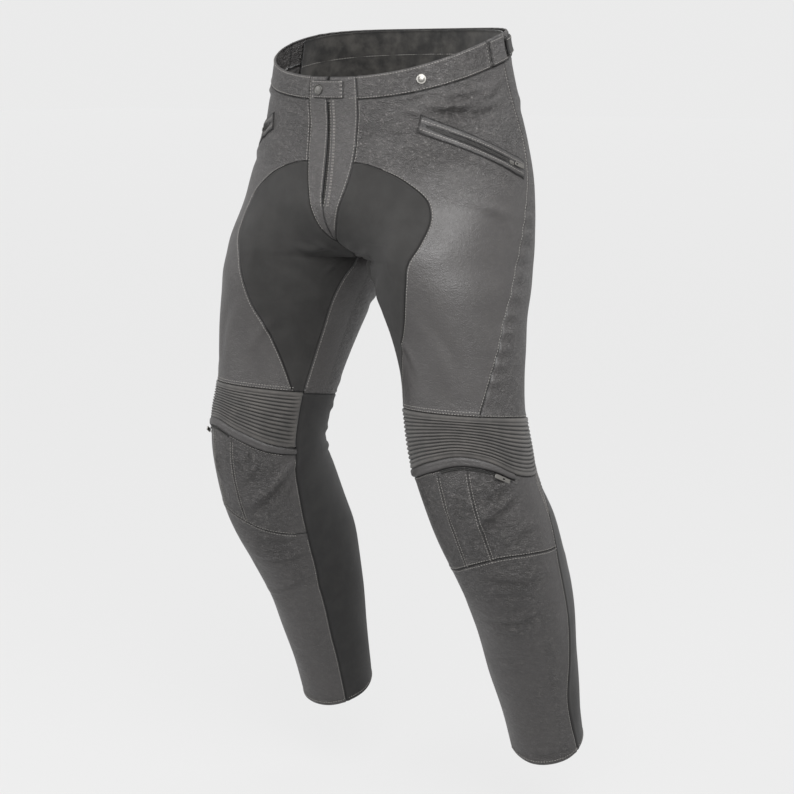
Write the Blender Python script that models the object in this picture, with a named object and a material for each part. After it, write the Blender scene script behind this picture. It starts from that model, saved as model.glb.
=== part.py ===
"""Leather riding trousers, filled out as if worn, with nobody in them.

The cloth is cut as a maker cuts it: each panel is a thin wall between its
seams, on one smooth form per leg. The form is given by sections down the
leg, and a point on it by two numbers: the angle round the leg, from the
inner side (0) over the front (90) and the outer side (180) to the back (270),
and the drop below the waist line. Both legs are alike, mirrored in x = 0.

World axes: X to the wearer's left, -Y to the front, +Z up, origin at the
middle of the waist.
"""

import math

import bmesh
import bpy
import numpy as np
from mathutils import Matrix, Vector

MM = 0.001

# Sizes of the cloth, mm
WALL = 1.8
SEAM_GAP = 0.3
LAID_GAP = 0.35
WAIST_SEAM = 12.0
KNEE_LINE = 422.0
HEM = 905.0
BACK = 360.0
JUST = 0.0001

# The rise: where the seat seam runs between the legs
CROTCH = 248.0
RISE_TOP = 165.0
INSEAM_START = 238.0
SQUARENESS = 2.3
CROTCH_POINT = 0.55
CROTCH_POINT_FADE = 80.0
CLEFT = 8.0
MIDDLE_STRIP, MIDDLE_FADE = 20.0, 26.0
STRETCH_TOP = 115.0

# Sections of one leg half, mm and degrees. half_depth is front to back,
# skew moves the outer side back, tilt lifts the back edge, dish lifts both.
# drop, centre_x, centre_y, half_width, half_depth, skew, tilt, dish
SECTIONS = (
    (-20, 74.0, 0, 74.0, 121, 0, 14.5, -14),
    (12, 77.5, 1, 77.5, 122, 0, 14, -10),
    (45, 81.0, 3, 81.0, 122, 0, 12, -5),
    (75, 84.5, 4, 84.5, 124, 0, 9, -2),
    (110, 90.0, 4, 90.0, 127, 0, 5, 0),
    (150, 95.5, 0, 95.5, 130, 0, 2, 0),
    (190, 99.0, -8, 99.0, 131, 0, 0, 0),
    (222, 100.5, -17, 100.5, 129, 0, -2, 0),
    (248, 101.5, -23, 101.5, 125, -2, -4, 0),
    (275, 112.0, -30, 96.5, 115, -5, -5, 0),
    (305, 121.0, -35, 90.5, 104, -8, -6, 0),
    (340, 131.0, -38, 85.0, 93, -10, -6, 0),
    (380, 139.0, -42, 79.0, 85, -10, -6, 0),
    (420, 145.5, -47, 76.5, 79, -5, -5, 0),
    (460, 154.5, -51, 76.5, 77, -3, -2, 0),
    (500, 162.5, -49, 75.0, 76, -3, 6, 0),
    (540, 169.0, -33, 75.0, 76.5, -4, 18, 0),
    (580, 173.5, -11, 75.5, 78, -6, 25, 0),
    (620, 175.0, 12, 74.0, 77, -8, 26, 0),
    (660, 175.0, 35, 71.5, 74, -8, 24, 0),
    (700, 175.0, 53, 68.5, 69, -6, 21, 0),
    (740, 174.5, 68, 65.0, 64, -4, 19, 0),
    (780, 174.5, 81, 61.0, 60, -3, 18, 0),
    (820, 175.0, 94, 57.0, 56, -3, 19, 0),
    (860, 176.0, 106, 53.0, 52.5, -3, 20, 0),
    (905, 177.5, 119, 50.0, 50, -3, 21, 0),
)

# Seams that run down the leg: drop, angle
SIDE_SEAM = (
    (12, 190), (130, 193), (182, 186), (250, 180), (284, 175),
    (320, 167), (354, 159), (390, 149), (425, 137),
)
STRETCH_SEAM = (
    (115, 62), (122, 75), (130, 86), (145, 99), (162, 109), (180, 113), (212, 112),
    (248, 105), (274, 98), (318, 84), (344, 71), (380, 56), (425, 38),
)
INSEAM = (
    (238, 0), (243, 13), (248, 26), (258, 24), (274, 24), (396, 26), (422, 27),
    (500, 24), (560, 30), (640, 40), (700, 45), (790, 45), (905, 41),
)
OUTER_SEAM = (
    (500, 201), (560, 199), (566, 198), (596, 191), (640, 185), (700, 182),
    (760, 175), (820, 166), (850, 168), (905, 176),
)
GUSSET_BACK = ((425, 235), (500, 235), (530, 217), (560, 202), (566, 198))
KNEE_DART_IN, KNEE_DART_OUT = 91.0, 120.0

# Seams that run round the leg: angle, drop
KNEE_TOP_SEAM = ((20, 426), (90, 422), (160, 423), (235, 431), (300, 435), (390, 427))
ARCH_TOP = (
    (20, 498), (51, 487), (84, 473), (117, 464), (142, 470), (166, 486), (201, 500), (240, 500),
)
ARCH_HEIGHT = ((20, 7), (40, 8.5), (117, 9.5), (150, 8.5), (166, 7))
KNEE_LOW_SEAM = (
    (20, 618), (45, 607), (70, 591), (96, 575), (128, 568), (156, 576), (191, 597), (210, 603),
)

# The shield over the fly: drop, half width. The slit: drop, centre, half width.
SHIELD = (
    (-20, 55), (12, 56), (56, 52), (115, 47), (145, 40),
    (162, 34), (180, 27), (198, 19), (212, 11), (224, 0),
)
SLIT = (
    (-20, -9.5, 3.2), (30, -9.5, 3.2), (150, -4.5, 3.2), (162, -4, 3),
    (180, -3, 0), (198, -1.5, 0), (212, 0, 0), (224, 0, 0),
)
SHIELD_TIP = 224.0
FLY_ZIP_ROWS = (16, 34, 56, 78, 100, 122, 145, 162, 172)
FLY_TAPE_HALF, FLY_TAPE_THICK = 13.0, 1.0

# Rows of points down the hip and thigh, mm of drop
HIP_ROWS = (
    12, 36, 60, 86, 115, 122, 130, 145, 162, 180, 198, 212, 224,
    238, 243, 248, 258, 274, 296, 322, 352, 386, 422,
)
BAND_ROWS = (-20, -4, 12)

# Rows of the shin and calf, mm of drop
SHIN_ROWS = (600, 640, 670, 700, 730, 760, 790, 820, 850, 880, 905)
CALF_ROWS = (432, 455, 478, 500, 530, 560, 566, 596, *SHIN_ROWS[1:])
ARCH_END = 166.0
RIBS_END, GUSSET_TIP = 500.0, 566.0

# Ribs over the knee
RIBS = 11
GUSSET_ROWS = 12
RIB_HEIGHT = 2.0
RIB_FADE, GUSSET_FADE = 12.0, 5.0
ARCH_RAISED = 1.4
PATCH_ROWS = 7
THIGH_FLAT = 300.0

# Puckers of the elastic at the sides of the waist
PUCKER_FROM, PUCKER_TO = 198.0, 262.0
PUCKERS = 6
PUCKER_HEIGHT = 1.8

# Facing inside the back of the waist: first angle, top, seam and bottom drop
FACING_FROM = 186.0
FACING_ROWS = (-18, -3, 12, 28, 44)
FACING_WALL = 1.0

# Tab over the top of the fly: ends to the wearer's right and left, rows, snap
TAB_RIGHT, TAB_LEFT = -46.0, 27.0
TAB_ROWS = (-15, -2.5, 10)
TAB_THICK = 1.8
SNAP_X, SNAP_DROP, SNAP_RADIUS, SNAP_THICK = -31.0, -2.0, 6.8, 1.6

# Stud on the wearer's left of the waistband
STUD_ANGLE, STUD_DROP, STUD_RADIUS, STUD_THICK = 116.0, -3.0, 6.0, 2.2

# Side adjuster: keeper and strap, from and to angle, top and bottom drop, thickness
KEEPER = (177.0, 194.0, -18.5, 11.0, 2.4)
STRAP = (197.0, 254.0, -13.0, 8.0, 1.8)
BAND_SEAM = 176.0

# Hip pocket: corners of its welt as angle and drop, and the slot's shares of its height
POCKET_FRONT_TOP, POCKET_BACK_TOP = (112.0, 47.0), (187.0, 126.0)
POCKET_FRONT_LOW, POCKET_BACK_LOW = (108.0, 70.0), (184.0, 144.0)
POCKET_COLUMNS = 10
SLOT_TOP, SLOT_LOW = 0.29, 0.71
ZIP_START = 1.05
WELT_THICK, TAPE_THICK, TAPE_WIDE = 1.0, 0.6, 4.6
POCKET_SLIDER_SHARE = 0.86

# Knee zip, under the arch: from and to angle, distance below the arch, slider's angle
KNEE_ZIP = (98.0, 160.0)
KNEE_ZIP_BELOW = 3.8
KNEE_SLIDER_ANGLE = 156.0
KNEE_PULL_TURN = 8.0

# Zip sliders and their pull tabs, mm
SLIDER_LONG, SLIDER_WIDE, SLIDER_TALL = 8.0, 4.8, 1.8
PULL_LONG, PULL_WIDE, PULL_THICK = 16.0, 5.0, 1.4
PULL_ROOT = 0.9
PULL_CLEAR = 0.6

# Colours, linear RGB
LEATHER = (0.105, 0.103, 0.103)
STRETCH = (0.052, 0.051, 0.051)
FACING = (0.060, 0.058, 0.056)
TAPE = (0.020, 0.020, 0.020)
STEEL = (0.55, 0.55, 0.56)


def smooth_table(rows):
    """A smooth curve through a table's rows, read at any value of its first column."""
    table = np.array(rows, float)
    at, values = table[:, 0], table[:, 1:]
    step = np.diff(at)[:, None]
    slope = np.diff(values, axis=0) / step
    inner = (slope[:-1] * step[1:] + slope[1:] * step[:-1]) / (step[:-1] + step[1:])
    slopes = np.vstack([slope[:1], inner, slope[-1:]])

    def read(value):
        value = np.clip(np.asarray(value, float), at[0], at[-1])
        i = np.clip(np.searchsorted(at, value, side="right") - 1, 0, len(at) - 2)
        width = (at[i + 1] - at[i])[..., None]
        t = (value - at[i])[..., None] / width
        ahead = t * t * (3 - 2 * t)
        return (
            (1 - ahead) * values[i]
            + ahead * values[i + 1]
            + t * (1 - t) ** 2 * width * slopes[i]
            - t * t * (1 - t) * width * slopes[i + 1]
        )

    return read


def line_table(rows):
    """Straight lines through a table's rows."""
    table = np.array(rows, float)
    return lambda value: np.interp(value, table[:, 0], table[:, 1])


def smooth_line(rows):
    """A smooth curve through a table of two columns."""
    read = smooth_table(rows)
    return lambda value: read(value)[..., 0]


sections = smooth_table(SECTIONS)
side_seam = line_table(SIDE_SEAM)
stretch_seam = line_table(STRETCH_SEAM)
inseam = line_table(INSEAM)
outer_seam = line_table(OUTER_SEAM)
gusset_back = line_table(GUSSET_BACK)
knee_top_seam = smooth_line(KNEE_TOP_SEAM)
arch_curve = smooth_line(ARCH_TOP)
arch_height = smooth_line(ARCH_HEIGHT)
knee_low_seam = smooth_line(KNEE_LOW_SEAM)
shield_half = line_table(SHIELD)
slit_centre = line_table([row[:2] for row in SLIT])
slit_half = line_table([(row[0], row[2]) for row in SLIT])


def form(angle, drop):
    """Points of the wearer's left half, in mm."""
    angle, drop = np.broadcast_arrays(np.asarray(angle, float), np.asarray(drop, float))
    centre_x, centre_y, half_width, half_depth, skew, tilt, dish = np.moveaxis(sections(drop), -1, 0)
    turn = np.radians(angle)
    across = (1 - np.cos(turn)) / 2
    forward = np.where(np.sin(turn) >= 0, 1.0, -1.0)

    # A leg is round, and runs out to a point towards the crotch
    point = CROTCH_POINT * np.clip(1 - (drop - CROTCH) / CROTCH_POINT_FADE, 0, 1) ** 2
    point = np.where(drop < CROTCH, CROTCH_POINT, point)
    round_leg = np.sqrt(np.clip(4 * across * (1 - across), 0, 1))
    pointed_leg = np.where(across < 0.5, (2 * across) ** 0.9, round_leg)
    leg = (1 - point) * round_leg + point * pointed_leg

    # The hips are half of one squarish oval
    hips = np.clip(1 - across**SQUARENESS, 0, 1) ** (1 / SQUARENESS)
    above = np.clip((CROTCH - drop) / (CROTCH - RISE_TOP), 0, 1)
    cleft = np.sqrt(above * (2 - above))
    gradual = above * above * (3 - 2 * above)
    near = np.clip(1 - 2 * across, 0, 1)
    opened = near * cleft + (1 - near) * gradual
    depth = leg + opened * (hips - leg)

    lean = np.radians(tilt)
    x = centre_x + half_width * (2 * across - 1)
    back = skew * (2 * across - 1) - forward * half_depth * depth
    z = back * np.sin(lean) + dish * (back / half_depth) ** 2 - drop
    return np.stack([x, centre_y + back * np.cos(lean), z], -1)


def outward(angle, drop):
    """Unit normals of the form, pointing out of the garment."""
    angle, drop = np.broadcast_arrays(np.asarray(angle, float), np.asarray(drop, float))
    beside = np.clip(np.mod(angle, 360), CLEFT, 360 - CLEFT)
    angle = np.where(drop < CROTCH, beside, angle)
    round_step, down_step = 0.5, 1.0
    around = form(angle + round_step, drop) - form(angle - round_step, drop)
    down = form(angle, drop + down_step) - form(angle, drop - down_step)
    normal = np.cross(down, around)
    normal /= np.linalg.norm(normal, axis=-1, keepdims=True)
    # At the middle of the body both halves share one direction
    aside = np.clip(form(angle, drop)[..., 0] / MIDDLE_STRIP, 0, 1)
    above = np.clip((CROTCH + MIDDLE_FADE - drop) / MIDDLE_FADE, 0, 1)
    normal[..., 0] *= 1 - above * (1 - aside)
    return normal / np.linalg.norm(normal, axis=-1, keepdims=True)


def angle_at(x, drop):
    """The angle at which the front of the hips is x mm from the middle."""
    half_width = sections(drop)[..., 3]
    return np.degrees(np.arccos(np.clip(1 - np.abs(x) / half_width, -1, 1)))


def shield_angle(drop):
    return angle_at(shield_half(drop), drop)


class Cloth:
    """Points, normals and faces of one piece of cloth, before it gets its thickness."""

    def __init__(self):
        self.points = []
        self.normals = []
        self.lifts = []
        self.faces = []
        self.found = {}
        self.side = 1

    def corner(self, point, normal, lift):
        key = tuple(np.round(point / 0.05).astype(int))
        if key in self.found:
            index = self.found[key]
            self.normals[index] = self.normals[index] + normal
            return index
        self.found[key] = len(self.points)
        self.points.append(point)
        self.normals.append(np.array(normal, float))
        self.lifts.append(lift)
        return self.found[key]

    def grid(self, points, normals, lifts=None, skip=None):
        """Adds a lattice of rows by columns. skip(row, column) leaves a face out."""
        rows, columns = points.shape[:2]
        if lifts is None:
            lifts = np.zeros((rows, columns))
        index = [
            [self.corner(points[r, c], normals[r, c], lifts[r, c]) for c in range(columns)]
            for r in range(rows)
        ]
        for r in range(rows - 1):
            for c in range(columns - 1):
                if skip and skip(r, c):
                    continue
                face = [index[r][c], index[r + 1][c], index[r + 1][c + 1], index[r][c + 1]]
                face = [v for k, v in enumerate(face) if v != face[k - 1]]
                if len(face) > 2:
                    self.faces.append(face)

    def mirrored(self):
        """The same piece for the wearer's right."""
        other = Cloth()
        other.side = -self.side
        flip = np.array([-1.0, 1.0, 1.0])
        other.points = [p * flip for p in self.points]
        other.normals = [n * flip for n in self.normals]
        other.lifts = list(self.lifts)
        other.faces = [face[::-1] for face in self.faces]
        return other

    def inset(self, points, normals, distance):
        """Moves the open edges inwards, so that neighbours stay apart."""
        edges = {(a, b) for face in self.faces for a, b in zip(face, face[1:] + face[:1])}
        pull = {}
        for a, b in edges:
            if (b, a) in edges:
                continue
            along = points[b] - points[a]
            for v in (a, b):
                inward = np.cross(normals[v], along)
                pull.setdefault(v, []).append(inward / np.linalg.norm(inward))
        moved = points.copy()
        for v, ways in pull.items():
            total = sum(ways)
            spread = max(float(np.dot(total, total)) / len(ways), 0.5)
            moved[v] += distance * total / spread
        return moved

    def solid(self, name, material, wall=WALL, base=0.0, gap=SEAM_GAP):
        """A closed wall. Its outer side lies base mm above the form, plus each point's lift."""
        used = sorted({v for face in self.faces for v in face})
        place = {v: k for k, v in enumerate(used)}
        self.faces = [[place[v] for v in face] for face in self.faces]
        points = np.array([self.points[v] for v in used])
        normals = np.array([self.normals[v] for v in used])
        normals /= np.linalg.norm(normals, axis=1, keepdims=True)
        lifts = np.array([self.lifts[v] for v in used])[:, None]
        points = self.inset(points, normals, gap / 2)
        outer = points + normals * (base + lifts)
        inner = points + normals * (base - wall)
        if self.side:
            for skin in (outer, inner):
                skin[:, 0] = self.side * np.maximum(self.side * skin[:, 0], gap / 2)
        count = len(points)
        faces = [list(face) for face in self.faces]
        faces += [[v + count for v in face[::-1]] for face in self.faces]
        edges = {(a, b) for face in self.faces for a, b in zip(face, face[1:] + face[:1])}
        for a, b in sorted(edges):
            if (b, a) not in edges:
                faces.append([b, a, a + count, b + count])
        return add_object(name, np.vstack([outer, inner]), faces, material)


def add_object(name, points, faces, material, smooth=True):
    """Links a mesh made of mm points as an object in metres."""
    mesh = bpy.data.meshes.new(name)
    mesh.from_pydata([tuple(p * MM) for p in points], [], faces)
    shape = bmesh.new()
    shape.from_mesh(mesh)
    bmesh.ops.recalc_face_normals(shape, faces=shape.faces)
    shape.to_mesh(mesh)
    shape.free()
    mesh.materials.append(material)
    if smooth:
        mesh.shade_smooth()
        mesh.set_sharp_from_angle(angle=math.radians(40))
    thing = bpy.data.objects.new(name, mesh)
    bpy.context.collection.objects.link(thing)
    return thing


def make_material(name, colour, roughness, metallic=0.0):
    material = bpy.data.materials.new(name)
    material.use_nodes = True
    shader = material.node_tree.nodes["Principled BSDF"]
    shader.inputs["Base Color"].default_value = (*colour, 1.0)
    shader.inputs["Roughness"].default_value = roughness
    shader.inputs["Metallic"].default_value = metallic
    return material


def settle(seams, columns, rows, drop_of):
    """Angles and drops of a lattice across neighbouring seams, whose rows may follow the angle."""
    place = np.concatenate([k + np.arange(n) / n for k, n in enumerate(columns)] + [[len(columns)]])
    row = np.asarray(rows, float)[:, None]
    drop = drop_of(row, np.full((len(rows), len(place)), 90.0))
    for _ in range(6):
        at_seams = [seam(drop) for seam in seams]
        angle = sum(
            line * np.clip(1 - np.abs(place - k), 0, 1) for k, line in enumerate(at_seams)
        )
        drop = drop_of(row, angle)
    return angle, drop


def calf_drop(row, angle):
    """Rows of the calf, which start on the seam above the knee."""
    first, flat = CALF_ROWS[0], RIBS_END
    ramp = np.clip((flat - row) / (flat - first), 0, 1)
    return row + ramp * (knee_top_seam(angle) - first)


def shin_drop(row, angle):
    """Rows of the shin, which start on the seam below the knee."""
    first, flat = SHIN_ROWS[:2]
    ramp = np.clip((flat - row) / (flat - first), 0, 1)
    return row + ramp * (knee_low_seam(angle) - first)


def even_rows(row, angle):
    """Rows that keep their drop all round."""
    return row + np.zeros_like(angle)


def hip_drop(row, angle):
    """Rows of the hip and thigh, level at first, that end on the seam above the knee."""
    ramp = np.clip((row - THIGH_FLAT) / (KNEE_LINE - THIGH_FLAT), 0, 1)
    return row + ramp * (knee_top_seam(angle) - KNEE_LINE)


def between(top, bottom):
    """Rows as shares of the way from one seam to another."""
    return lambda share, angle: top(angle) + share * (bottom(angle) - top(angle))


def arch_top(angle):
    """The seam between the ribs and the arch, level once it is past the arch."""
    return np.minimum(arch_curve(angle), RIBS_END)


def arch_bottom(angle):
    """The seam under the arch, and past its end the seam under the ribs."""
    inside = np.clip((ARCH_END + 0.5 - angle) / 0.5, 0, 1)
    return arch_top(angle) + inside * arch_height(angle)


def level(value):
    return lambda other: np.full(np.shape(other), float(value))


def rows_between(first, last):
    return [row for row in HIP_ROWS if first <= row <= last]


def pair(name, cloth, material, **sizes):
    """Makes the piece for the wearer's left and its mirror for the right."""
    other = cloth.mirrored()
    return [
        cloth.solid(name + "_left", material, **sizes),
        other.solid(name + "_right", material, **sizes),
    ]


def lattice(seams, columns, rows, drop_of, lift=None):
    """One piece of cloth across neighbouring seams, with the columns between each two."""
    cloth = Cloth()
    angle, drop = settle(seams, columns, rows, drop_of)
    lifts = lift(angle, drop, np.asarray(rows, float)[:, None]) if lift else None
    cloth.grid(form(angle, drop), outward(angle, drop), lifts)
    return cloth


def front_points(x, drop):
    """Points and normals on the front of the hips, x mm to the wearer's left of the middle."""
    angle = np.maximum(angle_at(x, drop), JUST)
    flip = np.stack([np.where(x < 0, -1.0, 1.0), np.ones_like(x), np.ones_like(x)], -1)
    return form(angle, drop) * flip, outward(angle, drop) * flip


def front_piece(start, end, columns, rows):
    """A piece on the front of the hips between two widths, each read at a drop."""
    cloth = Cloth()
    cloth.side = 0
    drop = np.asarray(rows, float)[:, None] + np.zeros(columns + 1)
    part = np.linspace(0, 1, columns + 1)[None, :]
    x = start(drop) + part * (end(drop) - start(drop))
    points, normals = front_points(x, drop)
    cloth.grid(points, normals)
    return cloth


def make_thighs(leather, stretch):
    """Front, stretch inset and back of each leg, from the waist seam to the knee."""

    def front_edge(drop):
        return np.where(drop < STRETCH_TOP, shield_angle(drop), stretch_seam(drop))

    def inset_edge(drop):
        above = np.where(drop < SHIELD_TIP, shield_angle(drop), JUST)
        return np.where(drop < INSEAM_START, above, np.maximum(inseam(drop), JUST))

    rows = rows_between(WAIST_SEAM, KNEE_LINE)
    pair("front_panel", lattice((front_edge, side_seam), (7,), rows, hip_drop), leather)

    rows = rows_between(STRETCH_TOP, KNEE_LINE)
    inset = lattice((inset_edge, stretch_seam), (5,), rows, hip_drop)
    pair("front_stretch", inset, stretch)

    back = Cloth()
    angle, drop = settle((side_seam, level(BACK - JUST)), (11,), HIP_ROWS, hip_drop)
    back.grid(form(angle, drop), outward(angle, drop))
    rows = rows_between(INSEAM_START, KNEE_LINE)
    seams = (level(BACK + JUST), lambda drop: BACK + np.maximum(inseam(drop), JUST))
    angle, drop = settle(seams, (2,), rows, hip_drop)
    back.grid(form(angle, drop), outward(angle, drop))
    pair("back_panel", back, leather)


def rib_lift(angle, drop, share):
    """Ridges along the rows, dying away at both ends of the piece."""
    count = share.size - 1
    ridge = (np.round(share * count).astype(int) % 2) * RIB_HEIGHT
    start, end = inseam(drop), gusset_back(drop)
    fade = np.clip((angle - start) / RIB_FADE, 0, 1) * np.clip((end - angle) / RIB_FADE, 0, 1)
    return ridge * fade


def gusset_lift(angle, drop, share):
    """Ridges across the tapering end of the ribbed piece."""
    count = share.size - 1
    ridge = (np.round(share * count).astype(int) % 2) * RIB_HEIGHT
    start, end = outer_seam(drop), gusset_back(drop)
    middle = np.clip(np.minimum(angle - start, end - angle) / GUSSET_FADE, 0, 1)
    return ridge * middle


def make_knees(leather, stretch):
    """Ribbed stretch over the knee, the arch under it and the three patches of the knee."""
    dart_in, dart_out, arch_end = level(KNEE_DART_IN), level(KNEE_DART_OUT), level(ARCH_END)
    seams = (inseam, dart_in, dart_out, arch_end, outer_seam, gusset_back)
    columns = (5, 3, 4, 3, 3)
    rib_rows = np.linspace(0, 1, 2 * RIBS + 1)
    band = between(knee_top_seam, arch_top)
    pair("knee_ribs", lattice(seams, columns, rib_rows, band, rib_lift), stretch)

    gusset = between(level(RIBS_END), level(GUSSET_TIP))
    gusset_rows = np.linspace(0, 1, GUSSET_ROWS)
    seams_beside = (outer_seam, gusset_back)
    pair("knee_gusset", lattice(seams_beside, (3,), gusset_rows, gusset, gusset_lift), stretch)

    arch = between(arch_top, arch_bottom)
    pair("knee_arch", lattice(seams[:4], columns[:3], (0, 0.5, 1), arch), leather, base=ARCH_RAISED)

    patch = between(arch_bottom, knee_low_seam)
    rows = np.linspace(0, 1, PATCH_ROWS)
    pair("knee_inner", lattice(seams[:2], columns[:1], rows, patch), leather)
    pair("knee_centre", lattice(seams[1:3], columns[1:2], rows, patch), leather)
    pair("knee_outer", lattice(seams[2:5], columns[2:4], rows, patch), leather)


def make_shins(leather, stretch):
    """Leather shin and stretch calf, down to the open hem."""
    seams = (inseam, level(KNEE_DART_IN), level(KNEE_DART_OUT), level(ARCH_END), outer_seam)
    pair("shin_panel", lattice(seams, (5, 3, 4, 3), SHIN_ROWS, shin_drop), leather)

    def calf_edge(drop):
        return np.where(drop < GUSSET_TIP, gusset_back(drop), outer_seam(drop))

    seams = (calf_edge, lambda drop: BACK + inseam(drop))
    pair("calf_panel", lattice(seams, (11,), CALF_ROWS, calf_drop), stretch)


def laid_on(name, seams, columns, rows, material, thick, gap=LAID_GAP):
    """A flat piece that lies on the panels, on both sides of the garment."""
    cloth = lattice(seams, columns, rows, even_rows)
    pair(name, cloth, material, wall=thick, base=gap + thick)


def make_waist(leather, stretch, facing):
    """Waistband, its facing and the adjusters at its sides."""
    seams = (shield_angle, level(BAND_SEAM))
    pair("waistband_front", lattice(seams, (8,), BAND_ROWS, even_rows), leather)

    def pucker(angle, drop, row):
        turns = (angle - PUCKER_FROM) / (PUCKER_TO - PUCKER_FROM)
        inside = (turns > 0) & (turns < 1)
        wave = np.sin(math.pi * PUCKERS * turns) ** 2
        return np.where(inside, PUCKER_HEIGHT * wave, 0)

    seams = (level(BAND_SEAM), level(PUCKER_FROM), level(PUCKER_TO), level(BACK - JUST))
    across_back("waistband_back", seams, (2, 2 * PUCKERS, 7), BAND_ROWS, leather, pucker)
    seams = (level(FACING_FROM), level(BACK - JUST))
    inside = -WALL - 3 * LAID_GAP
    across_back("waist_facing", seams, (11,), FACING_ROWS, facing, wall=FACING_WALL, base=inside)

    start, end, top, low, thick = KEEPER
    rows = (top, (top + low) / 2, low)
    laid_on("adjuster_keeper", (level(start), level(end)), (3,), rows, leather, thick)
    start, end, top, low, thick = STRAP
    over = 2 * LAID_GAP + PUCKER_HEIGHT
    laid_on("adjuster_strap", (level(start), level(end)), (5,), (top, low), stretch, thick, over)


def across_back(name, seams, columns, rows, material, lift=None, **sizes):
    """One piece round the back, from the wearer's left side to the right."""
    angle, drop = settle(seams, columns, rows, even_rows)
    row = np.asarray(rows, float)[:, None]
    lifts = lift(angle, drop, row) if lift else np.zeros(angle.shape)
    flip = np.array([-1.0, 1.0, 1.0])
    halves = []
    for values in (form(angle, drop), outward(angle, drop)):
        halves.append(np.concatenate([values, (values * flip)[:, ::-1]], axis=1))
    cloth = Cloth()
    cloth.side = 0
    cloth.grid(*halves, np.concatenate([lifts, lifts[:, ::-1]], axis=1))
    return cloth.solid(name, material, **sizes)


class Spot:
    """A place on the form, with its own length, width and height directions."""

    def __init__(self, angle, drop, toward, x=None):
        if x is None:
            self.at = form(angle, drop)
            self.up = outward(angle, drop)
            ahead = form(*toward) - self.at
        else:
            point, normal = front_points(np.array([x]), np.array([float(drop)]))
            self.at, self.up = point[0], normal[0]
            ahead = np.array([1.0, 0.0, 0.0])
        ahead = ahead - self.up * np.dot(ahead, self.up)
        self.along = ahead / np.linalg.norm(ahead)
        self.across = np.cross(self.up, self.along)

    def point(self, along, across, up):
        return self.at + self.along * along + self.across * across + self.up * up


def plate(name, spot, outline, low, high, material, side=1):
    """A flat plate with the given outline, between two heights over the form."""
    flip = np.array([side, 1.0, 1.0])
    bottom = [spot.point(a, b, low) * flip for a, b in outline]
    top = [spot.point(a, b, high) * flip for a, b in outline]
    count = len(outline)
    faces = [list(range(count)), list(range(2 * count - 1, count - 1, -1))]
    for k in range(count):
        after = (k + 1) % count
        faces.append([k, count + k, count + after, after])
    return add_object(name, np.array(bottom + top), faces, material)


def circle(radius, count=20):
    return [
        (radius * math.cos(2 * math.pi * k / count), radius * math.sin(2 * math.pi * k / count))
        for k in range(count)
    ]


def block(start, end, width, cut=0.8):
    """A rectangle with its corners cut off."""
    half = width / 2
    return [
        (start + cut, -half), (end - cut, -half), (end, cut - half), (end, half - cut),
        (end - cut, half), (start + cut, half), (start, half - cut), (start, cut - half),
    ]


def zip_slider(name, spot, on_top, steel):
    """A slider on its tape and the pull tab beside it, hinged across the slider's end."""
    high = on_top + SLIDER_TALL
    slider = block(-SLIDER_LONG / 2, SLIDER_LONG / 2, SLIDER_WIDE)
    start = SLIDER_LONG / 2 + PULL_CLEAR
    pull = block(start, start + PULL_LONG, PULL_WIDE, 1.2)
    axis = spot.point(start + PULL_ROOT, 0, high + PULL_THICK / 2)
    for side, word in ((1, "left"), (-1, "right")):
        plate(f"{name}_slider_{word}", spot, slider, on_top, high, steel, side)
        tab = plate(f"{name}_pull_{word}", spot, pull, high, high + PULL_THICK, steel, side)
        hinge = Vector((side * axis[0] * MM, axis[1] * MM, axis[2] * MM))
        tab.data.transform(Matrix.Translation(-hinge))
        tab.location = hinge


def pocket_place(share, height):
    """Angle and drop on the pocket's welt, along and down it."""
    top = np.array(POCKET_FRONT_TOP) + share * (np.array(POCKET_BACK_TOP) - POCKET_FRONT_TOP)
    low = np.array(POCKET_FRONT_LOW) + share * (np.array(POCKET_BACK_LOW) - POCKET_FRONT_LOW)
    return top + height * (low - top)


def make_pockets(leather, tape, steel):
    """Slanting hip pockets: a welt with a slot, and the zip in it."""
    shares = np.linspace(0, 1, POCKET_COLUMNS + 1)
    heights = (0, SLOT_TOP, SLOT_LOW, 1)
    places = np.array([[pocket_place(share, height) for share in shares] for height in heights])
    angle, drop = places[..., 0], places[..., 1]
    welt = Cloth()

    def slot(row, column):
        return row == 1 and 0 < column < POCKET_COLUMNS - 1

    welt.grid(form(angle, drop), outward(angle, drop), skip=slot)
    pair("pocket_welt", welt, leather, wall=WELT_THICK, base=LAID_GAP + WELT_THICK)

    middle = (SLOT_TOP + SLOT_LOW) / 2
    tall = np.linalg.norm(form(*pocket_place(0.5, 0)) - form(*pocket_place(0.5, 1)))
    half = TAPE_WIDE / tall / 2
    first = ZIP_START / POCKET_COLUMNS
    inside = np.linspace(first, 1 - first, POCKET_COLUMNS - 1)
    heights = (middle - half, middle + half)
    places = np.array([[pocket_place(share, height) for share in inside] for height in heights])
    angle, drop = places[..., 0], places[..., 1]
    strip = Cloth()
    strip.grid(form(angle, drop), outward(angle, drop))
    pair("pocket_zip", strip, tape, wall=TAPE_THICK, base=LAID_GAP + TAPE_THICK)

    place = pocket_place(POCKET_SLIDER_SHARE, middle)
    spot = Spot(*place, toward=pocket_place(1.0, middle))
    zip_slider("pocket", spot, 2 * LAID_GAP + TAPE_THICK, steel)


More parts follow.
